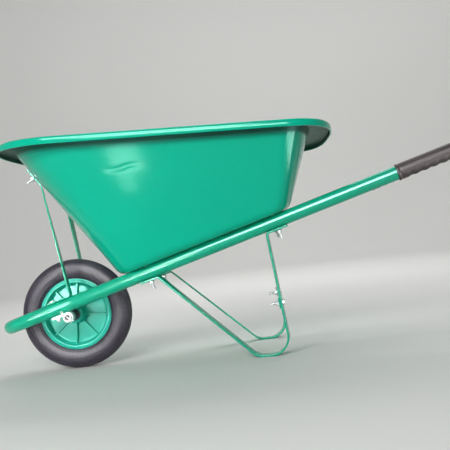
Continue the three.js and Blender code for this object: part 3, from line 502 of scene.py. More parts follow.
def start_material(name, **sockets):
    """A material, its tree, its Principled shader with the values given, and Object coordinates."""
    material = bpy.data.materials.new(name)
    material.use_nodes = True
    tree = material.node_tree
    shader = tree.nodes["Principled BSDF"]
    for key, value in sockets.items():
        shader.inputs[key.replace("_", " ")].default_value = value
    where = node(tree, "ShaderNodeTexCoord").outputs["Object"]
    return material, tree, shader, where


def finish_material(tree, shader, base, rough, layers):
    """The colour, roughness and bumps of a material: heights in metres, the broadest first."""
    tree.links.new(base, shader.inputs["Base Color"])
    tree.links.new(rough, shader.inputs["Roughness"])
    normal = None
    for height, distance in layers:
        made = node(tree, "ShaderNodeBump", {"Height": height, "Distance": distance, "Strength": 1.0})
        if normal is not None:
            tree.links.new(normal, made.inputs["Normal"])
        normal = made.outputs[0]
    tree.links.new(normal, shader.inputs["Normal"])


def moulded_green(name, colour, deep, gloss, wave):
    """Moulded plastic: slow waves in the surface, a faint pebble, a few scuffs, a little dust, and
    painted shade, a dark green, where the piece has it as an attribute."""
    m, t, shader, where = start_material(
        name, IOR=1.5, Specular_IOR_Level=0.3, Specular_Tint=(0.5, 1.0, 0.86, 1)
    )
    cloud = noise(t, where, 3.0, 4.0, 0.55)
    base = blend_colour(t, spread(t, cloud, 0.3, 0.7), (*deep, 1), (*colour, 1))
    scuff = use(t, SCUFFS, where, Scale=55.0, Amount=0.1)
    dust = use(t, DUST, where, Scale=24.0, Amount=0.05)
    base = blend_colour(t, scuff, base, (0.08, 0.62, 0.46, 1))
    base = blend_colour(t, dust, base, (0.30, 0.42, 0.32, 1))
    # painted shade: the shadow under the tray's rim, painted in as dark green from a point attribute; it
    # also makes the surface rougher there
    painted_shade = node(t, "ShaderNodeAttribute", attribute_name="painted_shade").outputs["Fac"]
    base = blend_colour(t, painted_shade, base, (0.001, 0.07, 0.045, 1))
    smear = spread(t, noise(t, where, 9.0, 5.0, 0.6), 0.3, 0.75, gloss, gloss + 0.06)
    dull = maths(t, "MAXIMUM", maths(t, "MAXIMUM", scuff, dust), painted_shade)
    worn = maths(t, "ADD", smear, maths(t, "MULTIPLY", dull, 0.35), clamp=True)
    slow = noise(t, where, 4.5, 1.0, 0.4)
    pebble = noise(t, where, 420.0, 2.0, 0.5)
    finish_material(t, shader, base, worn, [(slow, wave), (pebble, 0.00002)])
    return m


def powder_coat():
    """Glossy powder coat on steel: orange-peel dimples, and paler rubbed edges."""
    m, t, shader, where = start_material(
        "green_powder_coat", IOR=1.5, Specular_IOR_Level=0.8, Specular_Tint=(0.55, 1.0, 0.88, 1)
    )
    cloud = spread(t, noise(t, where, 5.0, 4.0, 0.6), 0.3, 0.7)
    base = blend_colour(t, cloud, (0.001, 0.39, 0.235, 1), (0.001, 0.43, 0.26, 1))
    scuff = use(t, SCUFFS, where, Scale=80.0, Amount=0.12)
    edge = use(t, EDGES, where, Amount=0.35)
    dust = use(t, DUST, where, Scale=40.0, Amount=0.05)
    base = blend_colour(t, scuff, base, (0.1, 0.56, 0.42, 1))
    base = blend_colour(t, edge, base, (0.3, 0.72, 0.58, 1))
    base = blend_colour(t, dust, base, (0.42, 0.43, 0.34, 1))
    rough = spread(t, noise(t, where, 16.0, 5.0, 0.6), 0.3, 0.75, 0.15, 0.25)
    worn = maths(t, "ADD", rough, maths(t, "MULTIPLY", scuff, 0.3), clamp=True)
    peel = noise(t, where, 260.0, 2.0, 0.5)
    slow = noise(t, where, 22.0, 1.0)
    finish_material(t, shader, base, worn, [(slow, 0.0003), (peel, 0.00005)])
    return m


def tyre_rubber():
    """Solid rubber: purplish grey-black with chalky bloom, moulding pores and ground-in dust."""
    m, t, shader, where = start_material("solid_tyre_rubber", IOR=1.5)
    bloom = spread(t, noise(t, where, 12.0, 6.0, 0.65), 0.35, 0.7)
    base = blend_colour(t, bloom, (0.021, 0.015, 0.031, 1), (0.040, 0.031, 0.056, 1))
    pores = spread(t, noise(t, where, 300.0, 3.0, 0.6), 0.5, 0.72)
    base = blend_colour(t, maths(t, "MULTIPLY", pores, 0.35), base, (0.16, 0.14, 0.13, 1))
    dust = use(t, DUST, where, Scale=60.0, Amount=0.1)
    base = blend_colour(t, dust, base, (0.20, 0.18, 0.15, 1))
    rough = spread(t, bloom, 0.0, 1.0, 0.4, 0.54)
    finish_material(t, shader, base, rough, [(noise(t, where, 40.0, 3.0), 0.0006), (pores, 0.00012)])
    return m


def grip_rubber():
    """Soft dark brown grip rubber with a fine leathery grain."""
    m, t, shader, where = start_material("grip_rubber", IOR=1.48)
    cloud = spread(t, noise(t, where, 18.0, 5.0, 0.6), 0.3, 0.7)
    base = blend_colour(t, cloud, (0.022, 0.012, 0.013, 1), (0.050, 0.030, 0.032, 1))
    dust = use(t, DUST, where, Scale=70.0, Amount=0.16)
    base = blend_colour(t, dust, base, (0.22, 0.18, 0.15, 1))
    cells = node(t, "ShaderNodeTexVoronoi", {"Vector": where, "Scale": 620.0}).outputs["Distance"]
    finish_material(t, shader, base, spread(t, cloud, 0.0, 1.0, 0.4, 0.55), [(cells, 0.00018)])
    return m


def zinc_plate():
    """Bright zinc: cloudy roughness, faint warm and cool stains, fine scratches."""
    m, t, shader, where = start_material("bright_zinc", Metallic=0.7)
    cloud = spread(t, noise(t, where, 60.0, 4.0, 0.6), 0.3, 0.7)
    base = blend_colour(t, cloud, (0.60, 0.60, 0.63, 1), (0.78, 0.77, 0.76, 1))
    scuff = use(t, SCUFFS, where, Scale=420.0, Amount=0.6)
    base = blend_colour(t, scuff, base, (0.6, 0.59, 0.57, 1))
    rough = spread(t, noise(t, where, 140.0, 4.0, 0.6), 0.3, 0.7, 0.36, 0.52)
    worn = maths(t, "ADD", rough, maths(t, "MULTIPLY", scuff, 0.2), clamp=True)
    finish_material(t, shader, base, worn, [(noise(t, where, 500.0, 2.0), 0.00004)])
    return m


def nylon():
    """Black nylon, worn grey in patches, with a fine grain."""
    m, t, shader, where = start_material("black_nylon", IOR=1.53)
    cloud = spread(t, noise(t, where, 45.0, 5.0, 0.6), 0.3, 0.75)
    base = blend_colour(t, cloud, (0.020, 0.021, 0.022, 1), (0.045, 0.046, 0.046, 1))
    dust = use(t, DUST, where, Scale=90.0, Amount=0.2)
    base = blend_colour(t, dust, base, (0.16, 0.15, 0.12, 1))
    rough = spread(t, cloud, 0.0, 1.0, 0.4, 0.6)
    finish_material(t, shader, base, rough, [(noise(t, where, 350.0, 2.0), 0.00006)])
    return m


TRAY_GREEN = moulded_green(
    "tray_green_plastic", (0.001, 0.465, 0.305), (0.001, 0.445, 0.285), gloss=0.1, wave=0.0012
)
WHEEL_GREEN = moulded_green(
    "wheel_green_plastic", (0.030, 0.52, 0.40), (0.018, 0.46, 0.34), gloss=0.16, wave=0.0006
)
PAINT, TYRE, GRIP, ZINC, NYLON = powder_coat(), tyre_rubber(), grip_rubber(), zinc_plate(), nylon()


# ---- tray
# The tray in plan. An oval's nose and tail are how far its rounded ends reach in from its front and
# back, its half widths are at the front and at the back, and its powers are for nose and tail.
rim_front = FLOOR_AHEAD - FRONT_OVERHANG
rim_back = rim_front + TRAY_LENGTH
rim_fall = (DEPTH_FRONT - DEPTH_BACK) / FLOOR_LENGTH
FLOOR_OVAL = {
    "front": FLOOR_AHEAD, "back": FLOOR_AHEAD + FLOOR_LENGTH,
    "nose": 90.0, "tail": 70.0, "half": FLOOR_HALF, "powers": (2.6, 4.0),
}
RIM_OVAL = {
    "front": rim_front, "back": rim_back,
    "nose": RIM_NOSE, "tail": RIM_TAIL, "half": (TRAY_HALF, TRAY_HALF), "powers": (2.4, 3.0),
}
MOUTH_OVAL = {
    "front": rim_front + FLANGE_FRONT, "back": rim_back - FLANGE_BACK,
    "nose": RIM_NOSE - FLANGE_FRONT, "tail": RIM_TAIL - FLANGE_BACK,
    "half": (TRAY_HALF - FLANGE_SIDE, TRAY_HALF - FLANGE_SIDE), "powers": (2.4, 3.0),
}
WALL_ROWS = 56
SIDE_STEPS_RIGHT, SIDE_STEPS_LEFT = 20, 76
CREASE_AHEAD, CREASE_LIFT = 321.0, 277.0
CREASE_DEPTH, CREASE_HALF_HEIGHT, CREASE_HALF_LENGTH = 1.3, 5.0, 42.0


def on_oval(oval, bearing):
    """An oval with straight sides: each end is |x|^p + |y|^p = 1, and the half width runs evenly
    from its front value to its back one. Bearing 0 is the back, half a turn the front."""
    at_back = np.cos(bearing) >= 0
    power = np.where(at_back, oval["powers"][1], oval["powers"][0])
    along = np.abs(np.cos(bearing)) ** (2 / power)
    y = np.sign(np.sin(bearing)) * np.abs(np.sin(bearing)) ** (2 / power)
    nose_x = oval["front"] + oval["nose"] * (1 - along)
    tail_x = oval["back"] - oval["tail"] * (1 - along)
    x = np.where(at_back, tail_x, nose_x)
    share = (x - oval["front"]) / (oval["back"] - oval["front"])
    front_half, back_half = oval["half"]
    return rows3(x, y * (front_half + share * (back_half - front_half)), 0)


def rim_lift(along):
    """The rim's plane: it falls evenly towards the grips."""
    return floor_bottom + DEPTH_FRONT - rim_fall * (along - FLOOR_AHEAD)


def lifted(points):
    """Points of a plan raised to the rim's plane."""
    return rows3(points[..., 0], points[..., 1], rim_lift(points[..., 0]))


def on_wall(bearing, height):
    """The outer wall is ruled: straight from the floor's oval to the mouth's, at one bearing."""
    low = on_oval(FLOOR_OVAL, bearing) + [0, 0, floor_bottom]
    high = lifted(on_oval(MOUTH_OVAL, bearing))
    return low + (high - low) * (height / (high - low)[..., 2:])


def corner(start, middle, end, steps):
    """A rounded corner: the curve of a parabola that leaves start and reaches end along the sides."""
    t = np.linspace(0, 1, steps)[:, None, None]
    return (1 - t) ** 2 * start + 2 * t * (1 - t) * middle + t**2 * end


def ruled(start, end, steps):
    """Evenly spaced points between two rings, both ends left out."""
    t = np.linspace(0, 1, steps + 2)[1:-1, None, None]
    return start + (end - start) * t


def tray_bearings():
    """Bearings round the tray's two ends, in even steps; the straight sides lie between them."""
    end = np.linspace(-0.5, 0.5, 97) * math.pi
    return np.concatenate([end, end + math.pi])


def tray_rows():
    """Rings of the tray's closed skin, from the middle of its underside out and up the wall, under
    the flange, round the turned-down lip, and down the inside to the middle of its floor. Also how
    many of the rings are on the outside."""
    b = tray_bearings()
    low = on_oval(FLOOR_OVAL, b) + [0, 0, floor_bottom]
    high, edge = lifted(on_oval(MOUTH_OVAL, b)), lifted(on_oval(RIM_OVAL, b))
    up, out = unit(high - low), unit(edge - high)
    down = -unit(np.array([rim_fall, 0, 1.0]))
    centre = np.array([FLOOR_AHEAD + FLOOR_LENGTH / 2, 0, floor_bottom]) + 0 * low
    inward = unit(centre - low)
    lean = TRAY_WALL / up[:, 2:]
    plan = unit(out * [1, 1, 0])
    inner_low = on_wall(b, TRAY_WALL) - plan * lean
    inner_high = high - plan * lean

    def flange(reach, drop):
        return edge - out * reach + down * drop

    floor_from, wall_from = low + inward * FLOOR_CORNER, low + up * FLOOR_CORNER
    inner_corner = FLOOR_CORNER - TRAY_WALL
    inner_floor = inner_low + inward * inner_corner
    inner_wall = inner_low + up * inner_corner
    under = high - up * TRAY_WALL
    t, r = TRAY_WALL, RIM_ROUND
    outside = [
        ruled(centre, floor_from, 5),
        corner(floor_from, low, wall_from, 9),
        ruled(wall_from, under - up * 8, WALL_ROWS),
        corner(under - up * 8, under, under + out * 7, 7),
        ruled(under + out * 7, flange(t + 5, t), 2),
        corner(flange(t + 5, t), flange(t, t), flange(t, t + 5), 5),
        flange(t, RIM_DROP - 1.2)[None],
    ]
    inside = [
        corner(flange(t, RIM_DROP - 1.2), flange(t, RIM_DROP), flange(t - 1.2, RIM_DROP), 3),
        corner(flange(1.2, RIM_DROP), flange(0, RIM_DROP), flange(0, RIM_DROP - 1.2), 3),
        corner(flange(0, r), edge, flange(r, 0), 8),
        ruled(flange(r, 0), inner_high + out * r, 3),
        corner(inner_high + out * r, inner_high, inner_high - up * r, 8),
        ruled(inner_high - up * r, inner_wall, WALL_ROWS),
        corner(inner_wall, inner_low, inner_floor, 9),
        ruled(inner_floor, centre + [0, 0, TRAY_WALL], 5),
    ]
    return fill_sides(np.concatenate(outside + inside)), sum(len(part) for part in outside)


def fill_sides(rows):
    """Points along the two straight sides, between the rings' back ends and their front ends."""
    half = rows.shape[1] // 2
    right = ruled(rows[:, half - 1], rows[:, half], SIDE_STEPS_RIGHT).swapaxes(0, 1)
    left = ruled(rows[:, -1], rows[:, 0], SIDE_STEPS_LEFT).swapaxes(0, 1)
    return np.concatenate([rows[:, :half], right, rows[:, half:], left], axis=1)


def creased(rows):
    """A knock in the left wall: a shallow, slightly waving crease, level with the ground. Its depth
    falls as exp(-h^2) above and below it, and as exp(-l^4) towards its ends."""
    along, y, lift = np.moveaxis(rows, -1, 0)
    from_middle = along - CREASE_AHEAD
    level = CREASE_LIFT - from_middle * math.tan(FRAME_SLOPE) + 4.0 * np.sin(from_middle / 16.0)
    h, l = (lift - level) / CREASE_HALF_HEIGHT, from_middle / CREASE_HALF_LENGTH
    depth = CREASE_DEPTH * np.exp(-(h**2) - l**4)
    return rows3(along, y + depth * (y < 0), lift)


def rim_painted_shade(rows, outside_rows):
    """How much painted shade the tray gets: full in the angle under its rim, then less in step with the
    distance down its outer wall, and none on its underside or inside."""
    along, _, lift = np.moveaxis(rows, -1, 0)
    below = rim_lift(along) - lift
    outside = np.arange(rows.shape[0])[:, None] < outside_rows
    shade_amount = np.clip(1.7 - (below - RIM_DROP) / 8.0, 0, 1)
    return np.where(outside & (lift > floor_bottom + 60), shade_amount, 0.0)


def tray():
    """The tray's skin, with its painted shade as a value on every point; the last two close it, and have
    none.
    """
    rows, outside_rows = tray_rows()
    rows = creased(rows)
    made = make_piece("tray", [skin(chassis(rows))], TRAY_GREEN, crease=60)
    shade_amount = np.concatenate([rim_painted_shade(rows, outside_rows).ravel(), np.zeros(2)])
    # the painted shade under the rim, kept on the tray's points for its material
    made.data.attributes.new("painted_shade", "FLOAT", "POINT").data.foreach_set("value", shade_amount)


tray()


# ---- frame tube and grips
def frame_line():
    """The tube's middle: back down the left rail, round the nose, and up the right rail."""
    end = GRIP_START + GRIP_LENGTH - GRIP_CAP - 0.1
    end_x, end_y = SPLAY_BEHIND + end * math.cos(RAIL_SPLAY), FORK_HALF + end * math.sin(RAIL_SPLAY)
    half = [[end_x, end_y, 0], [SPLAY_BEHIND, FORK_HALF, 0], [-NOSE_AHEAD, FORK_HALF, 0]]
    corners = [[x, -y, z] for x, y, z in half] + half[::-1]
    radii = [SPLAY_BEND, NOSE_BEND, NOSE_BEND, SPLAY_BEND]
    return subdivide(bend_line(corners, radii, [8, 30, 30, 8]), 25)


def tube_skin():
    """Two circles carried along the tube's middle, the outer one there and the inner one back."""
    line = frame_line()
    outer = sweep(line, UPWARD, round_outline(TUBE_RADIUS, 64))
    inner = sweep(line, UPWARD, round_outline(TUBE_RADIUS - TUBE_WALL, 64))
    return skin(chassis(np.concatenate([outer, inner[::-1]])), closed=True)


make_piece("frame_tube", [tube_skin()], PAINT)


def grip_rows(hand):
    """A grip's skin: radius over length and turn. Five shallow hollows for the fingers press up into
    its underside, a ring stands at its mouth, fine ribs run round the rest, and its end closes in a
    quarter circle."""
    sides, end_round = 72, 7.0
    straight = [np.linspace(0, 12, 25), np.linspace(13, 146, 134), np.linspace(147, 153, 9)]
    s = np.concatenate(straight)[:, None]
    turn = full_turn(sides)
    outer = TUBE_RADIUS + GRIP_WALL
    below = np.clip(-np.cos(turn), 0, 1) ** 1.5
    held = np.clip((s - HOLD_START) / 8, 0, 1) * np.clip((HOLD_END - s) / 8, 0, 1)
    finger = 0.5 - 0.5 * np.cos(2 * math.pi * (s - HOLD_START) / FINGER_PITCH)
    ribs = RIB_DEPTH * np.abs(np.sin(math.pi * s / RIB_PITCH)) * np.clip(1 - below, 0, 1) * held
    mouth = 0.9 * np.exp(-((s - 3.5) / 2.6) ** 2) - 0.6 * np.exp(-((s - 9) / 1.6) ** 2)
    r = outer + mouth - FINGER_DEPTH * finger * below * held - ribs
    arc = np.linspace(0, math.pi / 2, 10)[1:-1, None]
    end_r = (outer - end_round + end_round * np.cos(arc)) + 0 * turn
    end_s = GRIP_LENGTH - end_round + end_round * np.sin(arc)
    bore = TUBE_RADIUS + 0.25
    inside_s = np.array([GRIP_LENGTH - GRIP_CAP, 0.6, 0.0])[:, None]
    inside_r = np.array([bore, bore, bore + 0.6])[:, None] + 0 * turn
    cap_r = np.array([14.0, 8.0, 3.0])[:, None] + 0 * turn
    all_s = np.vstack([inside_s, s, end_s, np.full((3, 1), GRIP_LENGTH)]) + 0 * turn
    all_r = np.vstack([inside_r, r, end_r, cap_r])
    return rail(rows3(GRIP_START + all_s, all_r * np.sin(turn), all_r * np.cos(turn)), hand)


for side, hand in SIDES:
    make_piece(f"grip_{side}", [skin(grip_rows(hand))], GRIP, crease=50)


# ---- legs, brace and struts
def level_under_rail(s, height):
    """How far above the rail's middle a level above the ground lies, at `s` along the rail."""
    origin = AXLE[2] + axle_drop * math.cos(FRAME_SLOPE)
    rise = (SPLAY_BEHIND + s * math.cos(RAIL_SPLAY)) * math.sin(FRAME_SLOPE)
    return (height - origin - rise) / math.cos(FRAME_SLOPE)


def leg_corners():
    """Corners of the leg bar's middle under a rail: flange, front limb, sole, back limb, flange.
    The splay tilts the bar's width, so its lower edge is what stands on the ground."""
    flange = leg_top - LEG_THICKNESS / 2
    tilt = LEG_WIDTH / 2 * math.sin(RAIL_SPLAY) * math.sin(FRAME_SLOPE)
    toe = LEG_FRONT_BEND + LEG_TOE_BEHIND
    heel = toe + LEG_SOLE
    toe_lift, heel_lift = (level_under_rail(s, LEG_THICKNESS / 2 - tilt) for s in (toe, heel))
    points = [(FRONT_TRAY_BOLT - LEG_FLANGE_END, flange), (LEG_FRONT_BEND, flange)]
    points += [(toe, toe_lift), (heel, heel_lift)]
    points += [(LEG_BACK_BEND, flange), (BACK_TRAY_BOLT + LEG_FLANGE_END, flange)]
    return np.array([(s, 0, z) for s, z in points])


def brace_seat():
    """Where the brace's bolt crosses the back limb, and the limb's upward and forward directions."""
    low, high = leg_corners()[3:5]
    low_lift, high_lift = (p[2] - level_under_rail(p[0], 0) for p in (low, high))
    share = (BRACE_HEIGHT / math.cos(FRAME_SLOPE) - low_lift) / (high_lift - low_lift)
    up = unit(high - low)
    return low + (high - low) * share, up, np.array([-up[2], 0, up[0]])


def leg_skin(hand):
    """Flat bar along the bent line, cut level where it meets the ground."""
    line = subdivide(bend_line(leg_corners(), [9, 50, 50, 9], [8, 12, 18, 8]), 12)
    rows = sweep(line, ACROSS, bar_outline(LEG_WIDTH, LEG_THICKNESS))
    world = rail(rows, hand)
    world[..., 2] = np.maximum(world[..., 2], 0.0)
    return skin(world)


def rail_vector(v, hand):
    """A direction given in a rail's frame, in the room's."""
    return rail(v, hand) - rail(np.zeros(3), hand)


for side, hand in SIDES:
    make_piece(f"leg_{side}", [leg_skin(hand)], PAINT)


def brace_skin():
    """Flat bar from leg to leg, its ends bent to lie on the two limbs."""
    seat, up, ahead = brace_seat()
    face = seat + ahead * (LEG_THICKNESS / 2 + FACE_GAP + BRACE_THICKNESS / 2)
    line, wide = [], []
    for _, hand in SIDES:
        middle, outward = rail(face, hand), unit(rail_vector(ACROSS, hand))
        ends = [middle + outward * LEG_WIDTH / 2, middle - outward * (LEG_WIDTH / 2 + BRACE_BEND)]
        line.append(ends if hand < 0 else ends[::-1])
        wide.append(unit(rail_vector(up, hand)))
    line = subdivide(bend_line(np.vstack(line), [5, 5], [5, 5]), 15)
    share = np.clip(line[:, 1] / BRACE_SPAN + 0.5, 0, 1)[:, None]
    turned = wide[0] * (1 - share) + wide[1] * share
    return skin(sweep(line, turned, bar_outline(BRACE_WIDTH, BRACE_THICKNESS)))


make_piece("leg_brace", [brace_skin()], PAINT)


def strut_seat(hand):
    """The strut's upper bolt on the front wall: its point, the wall's upward direction, and out.
    Halving steps find the bearing at which the wall is STRUT_SPREAD to the side."""
    near, far = math.pi, math.pi / 2
    for _ in range(40):
        middle = (near + far) / 2
        if on_wall(np.array(middle), STRUT_HEIGHT)[1] < STRUT_SPREAD:
            near = middle
        else:
            far = middle
    point = on_wall(np.array(near), STRUT_HEIGHT)
    up = unit(on_wall(np.array(near), STRUT_HEIGHT + 1) - point)
    out = unit(np.cross(up, on_wall(np.array(near - 0.01), STRUT_HEIGHT) - point))
    flip = np.array([1.0, hand, 1.0])
    return point * flip, up * flip, out * flip


def strut_skin(hand):
    """Flat bar: a foot on the rail, an upright that turns to face the wall, and a strap up the wall."""
    point, up, out = strut_seat(hand)
    on_face = point + out * (STRUT_OFF_WALL + STRUT_THICKNESS / 2)
    middle = floor_bottom + STRUT_THICKNESS / 2
    corners = [[STRUT_TOE, hand * FORK_HALF, middle], [STRUT_BEND, hand * FORK_HALF, middle]]
    corners += [on_face - up * STRAP_BELOW, on_face + up * STRAP_ABOVE]
    line = subdivide(bend_line(corners, [6, 14], [7, 7]), 12)
    beside = np.cross(out, up)
    beside = beside if beside[1] > 0 else -beside
    turned = np.clip((line[:, 2] - STRUT_TWIST_FROM) / STRUT_TWIST_LENGTH, 0, 1)[:, None]
    wide = unit(ACROSS * (1 - turned) + beside * turned)
    return skin(chassis(sweep(line, wide, bar_outline(STRUT_WIDTH, STRUT_THICKNESS))))


for side, hand in SIDES:
    make_piece(f"strut_{side}", [strut_skin(hand)], PAINT)


# ---- axle and its straps
def about_axle(rows, hand=1.0):
    """Points turned from about z to about the axle, z towards one side."""
    x, y, z = np.moveaxis(rows, -1, 0)
    return on_axle(rows3(y, hand * z, x))


def clip_skin(hand):
    """A strap folded round the axle: a tail, all the way round the eye, and back along the tail."""
    r = clip_eye + CLIP_THICKNESS / 2
    under = r - CLIP_THICKNESS - 0.05
    leave = math.pi - math.asin(under / r)
    turn = np.linspace(math.pi / 2, leave - 2 * math.pi, 48)
    eye = rows3(r * np.cos(turn), 0, r * np.sin(turn))
    line = subdivide(np.vstack([[[-CLIP_TAIL, 0, r]], eye, [[-CLIP_TAIL, 0, under]]]), 6)
    strap = bar_outline(CLIP_WIDTH, CLIP_THICKNESS - 0.1, 0.5)
    rows = sweep(line, ACROSS, strap)
    return skin(chassis(rows + [0, hand * FORK_HALF, -axle_drop]))


def split_pin_skin(hand):
    """Round wire along a line: up one leg, round the eye, and down the other. Both tips are bent
    away, and the whole pin leans by `lean` from upright."""
    apart, eye_radius, lean = 0.85, 2.6, math.radians(45)
    first = [[5.5, 0, 17.5], [3.0, 0, 16.0], [apart, 0, 13.0], [apart, 0, -12.0], [apart, 0, -20.0]]
    last = [[-apart, 0, -20.0], [-apart, 0, -12.0], [-apart, 0, 13.0], [-2.6, 0, 16.5], [-4.0, 0, 18.5]]
    turn = np.linspace(math.radians(-65), math.radians(245), 26)
    eye = rows3(eye_radius * np.cos(turn), 0, -20.0 - eye_radius * (1 + np.sin(turn)))
    line = subdivide(np.vstack([first, eye, last]), 2.0)
    rows = sweep(line, ACROSS, round_outline(PIN_WIRE_RADIUS, 12))
    rows = point_along(rows, (0, 0, 0), (math.sin(lean), 0, -math.cos(lean)))
    return skin(on_axle(rows + [0, hand * (AXLE_LENGTH / 2 - PIN_INSET), 0]))


def collar(section, hand=1.0):
    """A ring's section turned about the axle."""
    return skin(about_axle(spin(section), hand), closed=True)


axle_section = rounded_ring(AXLE_BORE, AXLE_RADIUS, -AXLE_LENGTH / 2, AXLE_LENGTH / 2, 0.6)
make_piece("axle", [collar(axle_section)], ZINC)
for side, hand in SIDES:
    make_piece(f"axle_clip_{side}", [clip_skin(hand)], ZINC)
    outside = FORK_HALF + CLIP_WIDTH / 2 + FACE_GAP
    ring = rounded_ring(COLLAR_BORE, COLLAR_RADIUS, outside, outside + 2, 0.4)
    make_piece(f"axle_washer_{side}", [collar(ring, hand)], ZINC)
    inside = FORK_HALF - CLIP_WIDTH / 2 - FACE_GAP
    ring = rounded_ring(COLLAR_BORE, COLLAR_RADIUS, SPACER_START, inside, 0.8)
    make_piece(f"spacer_{side}", [collar(ring, hand)], NYLON)
    make_piece(f"split_pin_{side}", [split_pin_skin(hand)], ZINC)


# ---- wheel
# Profiles are radius and distance from the wheel's middle: a flanged bush, the hub's end, and the
# panel's edge with the lip and the tyre's seat.
BUSH_PROFILE = [
    (11.1, 22.3), (13.6, 22.3), (14, 22.9), (14, 42.3), (16.6, 42.3), (17, 42.7), (17, 44.8),
    (16.5, 45.3), (11.6, 45.3), (11.1, 44.8),
]
RIBS = 8
RIB_HALF = 2.0
RIB_TOP = 13.0
RIB_TURN = math.radians(6.3)
HUB_PROFILE = [(14.3, 41.0), (15.2, 42.0), (23.0, 42.0), (24.4, 41.4), (25.0, 40.0), (25.6, 16.0)]
LIP_PROFILE = [
    (86.5, 4.4), (88.2, 8.0), (91.6, 20.6), (92.4, 21.8), (93.6, 22.0), (96.5, 22.0), (97.2, 21.4),
    (98.4, 21.3), (99.2, 22.0), (102.4, 22.0), (103.6, 21.4), (104.0, 20.2), (104.0, 18.4),
    (103.6, 18.0), (97.0, 18.0),
]


def rim_half(hand):
    """One side of the wheel. Each of eight sectors spans from the middle of a rib to the next; the
    turn at a radius r starts at the rib's edge, asin(half thickness / r), so ribs keep parallel
    sides. Height over the panel is the rib's top or the panel, with a rounded step between them."""
    rings = [np.linspace(26.0, 30, 5), np.linspace(33, 81, 14), np.linspace(82.5, 86, 4)]
    r_panel = np.concatenate(rings)
    near_hub = np.clip((30 - r_panel) / 4, 0, 1)
    near_edge = np.clip((r_panel - 82) / 4, 0, 1)
    panel = 2.5 + 9.0 * near_hub**2 + 1.2 * near_edge**2
    inner, outer = np.array(HUB_PROFILE), np.array(LIP_PROFILE)
    radius = np.concatenate([inner[:, 0], r_panel, outer[:, 0]])
    low = np.concatenate([inner[:, 1], panel, outer[:, 1]])
    high = np.concatenate([inner[:, 1], RIB_TOP + 2.0 * near_hub, outer[:, 1]])
    edge = len(inner) + len(r_panel)
    high[edge:edge + 2] = RIB_TOP
    share = np.array([0.0, 0.6, 0.85, 0.97, 1.0])
    rise = np.array([1.0, 1.0, 0.92, 0.6, 0.0])
    half = np.arcsin(np.clip(RIB_HALF / radius, 0, 1))[:, None]
    sector = 2 * math.pi / RIBS
    free = np.linspace(0, 1, 9)[1:-1]
    leaving, reaching = share * half, sector - (share * half)[:, :0:-1]
    sector_turn = np.concatenate([leaving, half + (sector - 2 * half) * free, reaching], axis=1)
    sector_rise = np.concatenate([rise, 0 * free, rise[:0:-1]])
    turn = np.concatenate([sector_turn + k * sector for k in range(RIBS)], axis=1) - RIB_TURN
    lift = np.tile(sector_rise, RIBS)[None]
    height = low[:, None] + (high - low)[:, None] * lift
    return rows3(radius[:, None] * np.cos(turn), hand * height, radius[:, None] * np.sin(turn))


def rim_skin():
    """The wheel's two sides, right and left, joined through the hub's bore and under the tyre."""
    right, left = rim_half(1.0), rim_half(-1.0)
    return skin(on_axle(np.concatenate([right, left[::-1]])), closed=True)


def tyre_rows():
    """Round the section by an angle s, the radius is the lip's plus height * (0.42 + 0.58 cos s) and
    the distance from the middle is half the width * sin(s) ^ 0.88. The section turns about the
    axle. The radius falls over the crown's grooves and over cross cuts that repeat along both
    shoulders, and two thin rings stand on each side wall."""
    sides, seat_radius, seat_half = 360, 97.4, 17.6
    a = full_turn(sides)
    u = np.linspace(-1, 1, 121)[:, None]
    swell = np.sign(u) * np.abs(u) ** 0.9 * (math.pi / 2 + 0.86)
    over_lip = 104.6
    height = TYRE_RADIUS - over_lip
    r = over_lip + height * (0.42 + 0.58 * np.cos(swell)) + 0 * a
    y = TYRE_HALF * np.sign(u) * np.abs(np.sin(swell)) ** 0.88 + 0 * a
    inner_groove = np.exp(-((np.abs(y) - 6.5) / 1.3) ** 2)
    outer_groove = np.exp(-((np.abs(y) - 15.5) / 1.1) ** 2)
    groove = GROOVE_DEPTH * inner_groove + GROOVE_DEPTH * outer_groove
    on_crown = np.clip((r - 148) / 6, 0, 1)
    bars = np.clip(np.abs(((a * SHOULDER_CUTS / math.pi + 0.18 * y) % 2) - 1) * 4 - 2.6, 0, 1)
    shoulder = np.clip((np.abs(y) - 16) / 2, 0, 1) * np.clip((r - 143) / 5, 0, 1)
    r = np.minimum(r - groove * on_crown - CUT_DEPTH * bars * shoulder, TYRE_RADIUS)
    ring = 0.7 * np.exp(-((r - 112.5) / 1.0) ** 2) + 0.5 * np.exp(-((r - 137) / 0.8) ** 2)
    y = y + np.sign(y) * ring * (np.abs(y) > 12) * (np.abs(y) < 29.4)
    bead_r = np.array([over_lip, seat_radius, seat_radius, over_lip])[:, None]
    bead_y = np.array([seat_half, seat_half, -seat_half, -seat_half])[:, None]
    r, y = np.vstack([r, bead_r + 0 * a]), np.vstack([y, bead_y + 0 * a])
    return rows3(r * np.cos(a), y, r * np.sin(a))


make_piece("wheel_rim", [rim_skin()], WHEEL_GREEN, "wheel", crease=35)
make_piece("tyre", [skin(on_axle(tyre_rows()), closed=True)], TYRE, "wheel", crease=45)
for side, hand in SIDES:
    make_piece(f"wheel_bush_{side}", [collar(BUSH_PROFILE, hand)], NYLON, "wheel")


